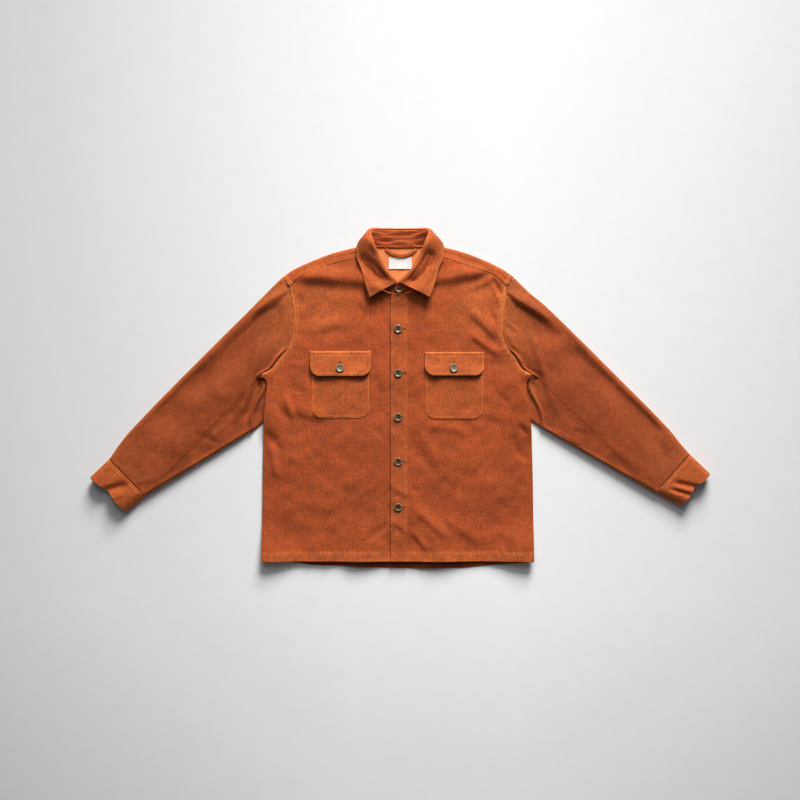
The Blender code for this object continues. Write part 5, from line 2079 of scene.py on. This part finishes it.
@dataclass
class Buttonhole:
    """A bound buttonhole: satin stitches along both lips of a slit."""

    x: float
    y: float
    length: float
    upright: bool
    level: Callable[[Array, Array], Array]

    def sew(self, thread: Thread) -> None:
        """Sew the lips."""
        count = int(self.length / 0.75)
        along = np.linspace(-self.length / 2, self.length / 2, count)
        for lip in (-1.0, 1.0):
            x = self.x + (lip * 1.0 if self.upright else along)
            y = self.y + (along if self.upright else lip * 1.0)
            x, y = np.broadcast_arrays(x, y)
            points = spots(x, y, self.level(x, y) + 0.05)
            across = (1.0, 0.0, 0.0) if self.upright else (0.0, 1.0, 0.0)
            thread.lay(points, np.broadcast_to(across, points.shape),
                       np.broadcast_to((0.0, 0.0, 1.0), points.shape), 1.9, 0.42)


@dataclass
class NeckTrims:
    """What shows inside the neck: the hanger loop and the blank label."""

    finishes: Finishes
    thread: Thread
    start_x: float = -28.0
    end_x: float = 41.0
    top_y: float = 694.5
    sag: float = 15.0
    width: float = 6.5
    thick: float = 1.8
    rise: float = 2.4
    label_x: tuple = (-21.0, 30.0)
    label_y: tuple = (651.0, 676.0)
    label_thick: float = 0.8
    label_rise: float = 1.6

    def build(self) -> list[Piece]:
        """Make both."""
        return [self.loop(), self.label()]

    def loop(self) -> Piece:
        """A narrow folded strip that sags below the back of the neck."""
        share = np.linspace(0, 1, 49)
        across = np.array((-0.5, -0.47, -0.4, -0.25, 0, 0.25, 0.4, 0.47, 0.5)) * self.width
        s, a = np.meshgrid(share, across, indexing="ij")
        bow = 4 * s * (1 - s)
        slope = 4 * self.sag * (1 - 2 * s) / (self.end_x - self.start_x)
        run = np.hypot(1, slope)
        x = mix(self.start_x, self.end_x, s) + a * slope / run
        y = self.top_y - self.sag * bow + a / run
        base = LAY.lift(x, y) + CLOTH + SEAM_GAP + self.rise * np.sqrt(bow)
        edge = 1 - rounding(self.width / 2 - np.abs(a), 1.2)
        groove = 0.35 * bell(np.abs(a) - 1.9, 0.6)
        outer = Surface.of(x, y, base + self.thick - 0.7 * edge - groove, 0.8, 0.25 + 0.5 * edge)
        inner = Surface.of(x, y, base + 0.5 * edge, 0.8)
        piece = slab("hanger_loop_strip", outer, inner)
        return dress(piece, "hanger_loop", self.finishes.doubled,
                     Cut(0.085, 0.013, 0.6))

    def label(self) -> Piece:
        """A blank woven label, sewn along its top, lifting a little at its lower edge."""
        out = lines(self.label_x[0], self.label_x[1], 2.0, [(self.label_x[0], self.label_x[0] + 2, 0.5)])
        up = lines(self.label_y[0], self.label_y[1], 1.5)
        x, y = np.meshgrid(out, up, indexing="ij")
        share = (y - self.label_y[0]) / (self.label_y[1] - self.label_y[0])
        middle = bell(x - 6, 9)
        base = LAY.lift(x, y) + CLOTH + SEAM_GAP + self.label_rise * (1 - share) ** 2 * (0.6 + 0.6 * middle)
        hem = 0.15 * (np.minimum(x - self.label_x[0], self.label_x[1] - x) < 3)
        outer = Surface.of(x, y, base + self.label_thick + hem - 0.15, 1.0)
        inner = Surface.of(x, y, base, 1.0)
        piece = slab("label_blank", outer, inner)
        across = np.linspace(self.label_x[0] + 1.5, self.label_x[1] - 1.5, 30)
        sewn_y = self.label_y[1] - 1.6
        height = LAY.lift(across, sewn_y) + CLOTH + SEAM_GAP + self.label_thick
        self.thread.row(spots(across, sewn_y, height))
        return dress(piece, "label", (self.finishes.satin, self.finishes.satin), Cut(0.051, 0.025),
                     Slot.LABEL)


@dataclass
class Seams:
    """The rows of stitching that lie on more than one piece or on the large panels."""

    finishes: Finishes
    cuff_round: float = 15.0

    def build(self) -> list[Piece]:
        """Sew the hem, the armholes, the yoke and the cuffs."""
        return [self.hem(), self.armholes(), self.yoke(), self.cuffs()]

    def hem(self) -> Piece:
        """The hem's single row, across both fronts."""
        thread = Thread("stitches_hem")
        for start, stop in ((-300.0, -18.5), (21.5, 298.0)):
            x = np.linspace(start, stop, 160)
            thread.row(spots(x, LAY.hem_band, LAY.front_top(x, LAY.hem_band) - 0.1))
        return thread.piece(self.finishes.thread)

    def armholes(self) -> Piece:
        """Two rows beside each armhole."""
        thread = Thread("stitches_armholes")
        for side in Side:
            for inset in ARMHOLE_ROWS:
                x, y = LAY.armhole_route(side, inset, 6.0).every(2.0).T
                thread.row(spots(x, y, LAY.front_top(x, y) + 0.65))
        return thread.piece(self.finishes.thread)

    def yoke(self) -> Piece:
        """Two rows along each front yoke seam."""
        thread = Thread("stitches_yoke")
        shape = Yoke(self.finishes)
        for side in Side:
            for inset in YOKE_ROWS:
                out = np.linspace(84, 238, 80)
                x = side * out
                y = LAY.front_seam[side](out) + inset
                z = LAY.lift(x, y) + 2 * CLOTH + LAY.gap(x, y) + LAY.folds(x, y)
                z = z + shape.seam_lift(x, y, np.ones_like(x), np.zeros_like(x)) - 0.1
                thread.row(spots(x, y, z))
        return thread.piece(self.finishes.thread)

    def cuffs(self) -> Piece:
        """Two rows beside each cuff seam, on the upper face."""
        thread = Thread("stitches_cuffs")
        for side in Side:
            seam_top, seam_low, end_top, end_low = CUFFS[side].corners()
            depth = float(np.linalg.norm(end_top - seam_top))
            for deep in CUFF_ROWS:
                share = np.linspace(0.05, 0.95, 70)[:, None]
                top = mix(seam_top, end_top, deep / depth)
                low = mix(seam_low, end_low, deep / depth)
                plan = mix(top, low, share)
                half = Cuff(self.finishes, side).heights(deep / depth) / 2
                away = np.minimum(share[:, 0], 1 - share[:, 0]) * np.linalg.norm(low - top)
                z = half + half * rounding(away, self.cuff_round) - 0.4
                thread.row(np.concatenate([plan, z[:, None]], axis=-1))
        return thread.piece(self.finishes.thread)


@dataclass
class Studio:
    """Pale floor, soft light from beyond the collar, and a camera straight above."""

    finishes: Finishes
    floor_half: float = 4.0
    lens: float = 50.0
    sensor: float = 36.0
    view_width: float = 1.784
    aim: tuple[float, float] = (-0.0003, -0.0053)
    # name, width, watts, colour, place, what it points at
    lamps: tuple = (
        ("key", 1.9, 262.0, (1.0, 0.985, 0.96), (0.75, 3.4, 1.95), (0.05, -0.3, 0.0)),
        ("fill", 2.6, 31.0, (1.0, 1.0, 1.0), (-0.2, 2.2, 2.6), (0.0, -0.2, 0.0)),
    )
    sky_colour: tuple = (0.98, 0.99, 1.0, 1.0)
    sky_strength: float = 0.08

    def build(self) -> None:
        """Make them all."""
        self.floor()
        self.lights()
        self.camera()

    def floor(self) -> None:
        """A plain sheet of paper under everything."""
        bm = bmesh.new()
        bmesh.ops.create_grid(bm, x_segments=8, y_segments=8, size=self.floor_half)
        mesh = to_mesh(bm, "floor")
        mesh.materials.append(self.finishes.paper)
        add_object("floor", mesh)

    def lights(self) -> None:
        """One large soft key, and an even fill."""
        for name, size, energy, colour, place, aim in self.lamps:
            lamp = bpy.data.lights.new(name, "AREA")
            lamp.shape = "DISK"
            lamp.size = size
            lamp.energy = energy
            lamp.color = colour
            stand = add_object(name, lamp)
            stand.location = place
            stand.rotation_euler = (Vector(aim) - Vector(place)).to_track_quat("-Z", "Y").to_euler()
        world = bpy.data.worlds.new("studio")
        world.use_nodes = True
        tree = world.node_tree
        plug(tree, tree.nodes["Background"], {"Color": self.sky_colour, "Strength": self.sky_strength})
        bpy.context.scene.world = world
        bpy.context.scene.view_settings.view_transform = "Standard"

    def camera(self) -> None:
        """Look straight down."""
        data = bpy.data.cameras.new("camera")
        data.lens = self.lens
        data.sensor_width = self.sensor
        camera = add_object("camera", data)
        camera.location = (*self.aim, self.view_width * self.lens / self.sensor)
        bpy.context.scene.camera = camera


@dataclass
class Overshirt:
    """The whole garment."""

    finishes: Finishes
    button_y: tuple = (517, 419, 321, 222, 121)
    neck_button: tuple = (2.0, 606.0, 15.0)
    buttonhole: float = 18.0

    def build(self) -> None:
        """Make every piece, from the floor up."""
        looks = self.finishes
        BackPanel(looks).build()
        for side in Side:
            FrontPanel(looks, side).build()
            Sleeve(looks, side).build()
            Cuff(looks, side).build()
        Yoke(looks).build()
        thread = Thread("stitches_collar")
        Collar(looks, thread).build()
        thread.piece(looks.thread)
        self.front_trims()
        Seams(looks).build()

    def front_trims(self) -> None:
        """Placket, pockets, buttons and the trims in the neck."""
        looks = self.finishes
        sewing = Thread("stitches_placket")
        lips = Thread("stitches_buttonholes")
        placket = Placket(looks, sewing)
        placket.build()
        for number, y in enumerate(self.button_y, start=1):
            seat = float(placket.top(np.array(0.0), np.array(float(y))))
            Buttonhole(9.0, y, self.buttonhole, False, lambda x, y: placket.top(x, y) - 0.2).sew(lips)
            button = Button(looks, "button_%d" % number, 0.0, y, seat, tilt=1.5 * number)
            button.build()
            button.sew(sewing)
        neck = Button(looks, "button_neck", *self.neck_button, tilt=3.0)
        neck.build()
        neck.sew(sewing)
        sewing.piece(looks.thread)
        for side in Side:
            sewing = Thread("stitches_pocket_" + side.word)
            pocket = Pocket(looks, side, sewing)
            pocket.build()
            x, y = pocket.plan.button_x, pocket.plan.button_y

            def level(at_x: Array, at_y: Array, shape: Pocket = pocket) -> Array:
                """Outer face of the flap."""
                return LAY.front_top(at_x, at_y) + shape.flap_level(at_y) + shape.flap_thick - 0.2

            Buttonhole(x, y + 7.0, self.buttonhole, True, level).sew(lips)
            button = Button(looks, "pocket_button_" + side.word, x, y, pocket.button_seat(), tilt=2.0)
            button.build()
            button.sew(sewing)
            sewing.piece(looks.thread)
        lips.piece(looks.twist)
        sewing = Thread("stitches_label")
        NeckTrims(looks, sewing).build()
        sewing.piece(looks.satin)


def main() -> None:
    """Build the overshirt and its studio."""
    logging.basicConfig(level=logging.INFO, format="%(name)s: %(message)s")
    finishes = Finishes()
    Studio(finishes).build()
    Overshirt(finishes).build()
    bpy.context.view_layer.update()


if __name__ == "__main__":
    main()
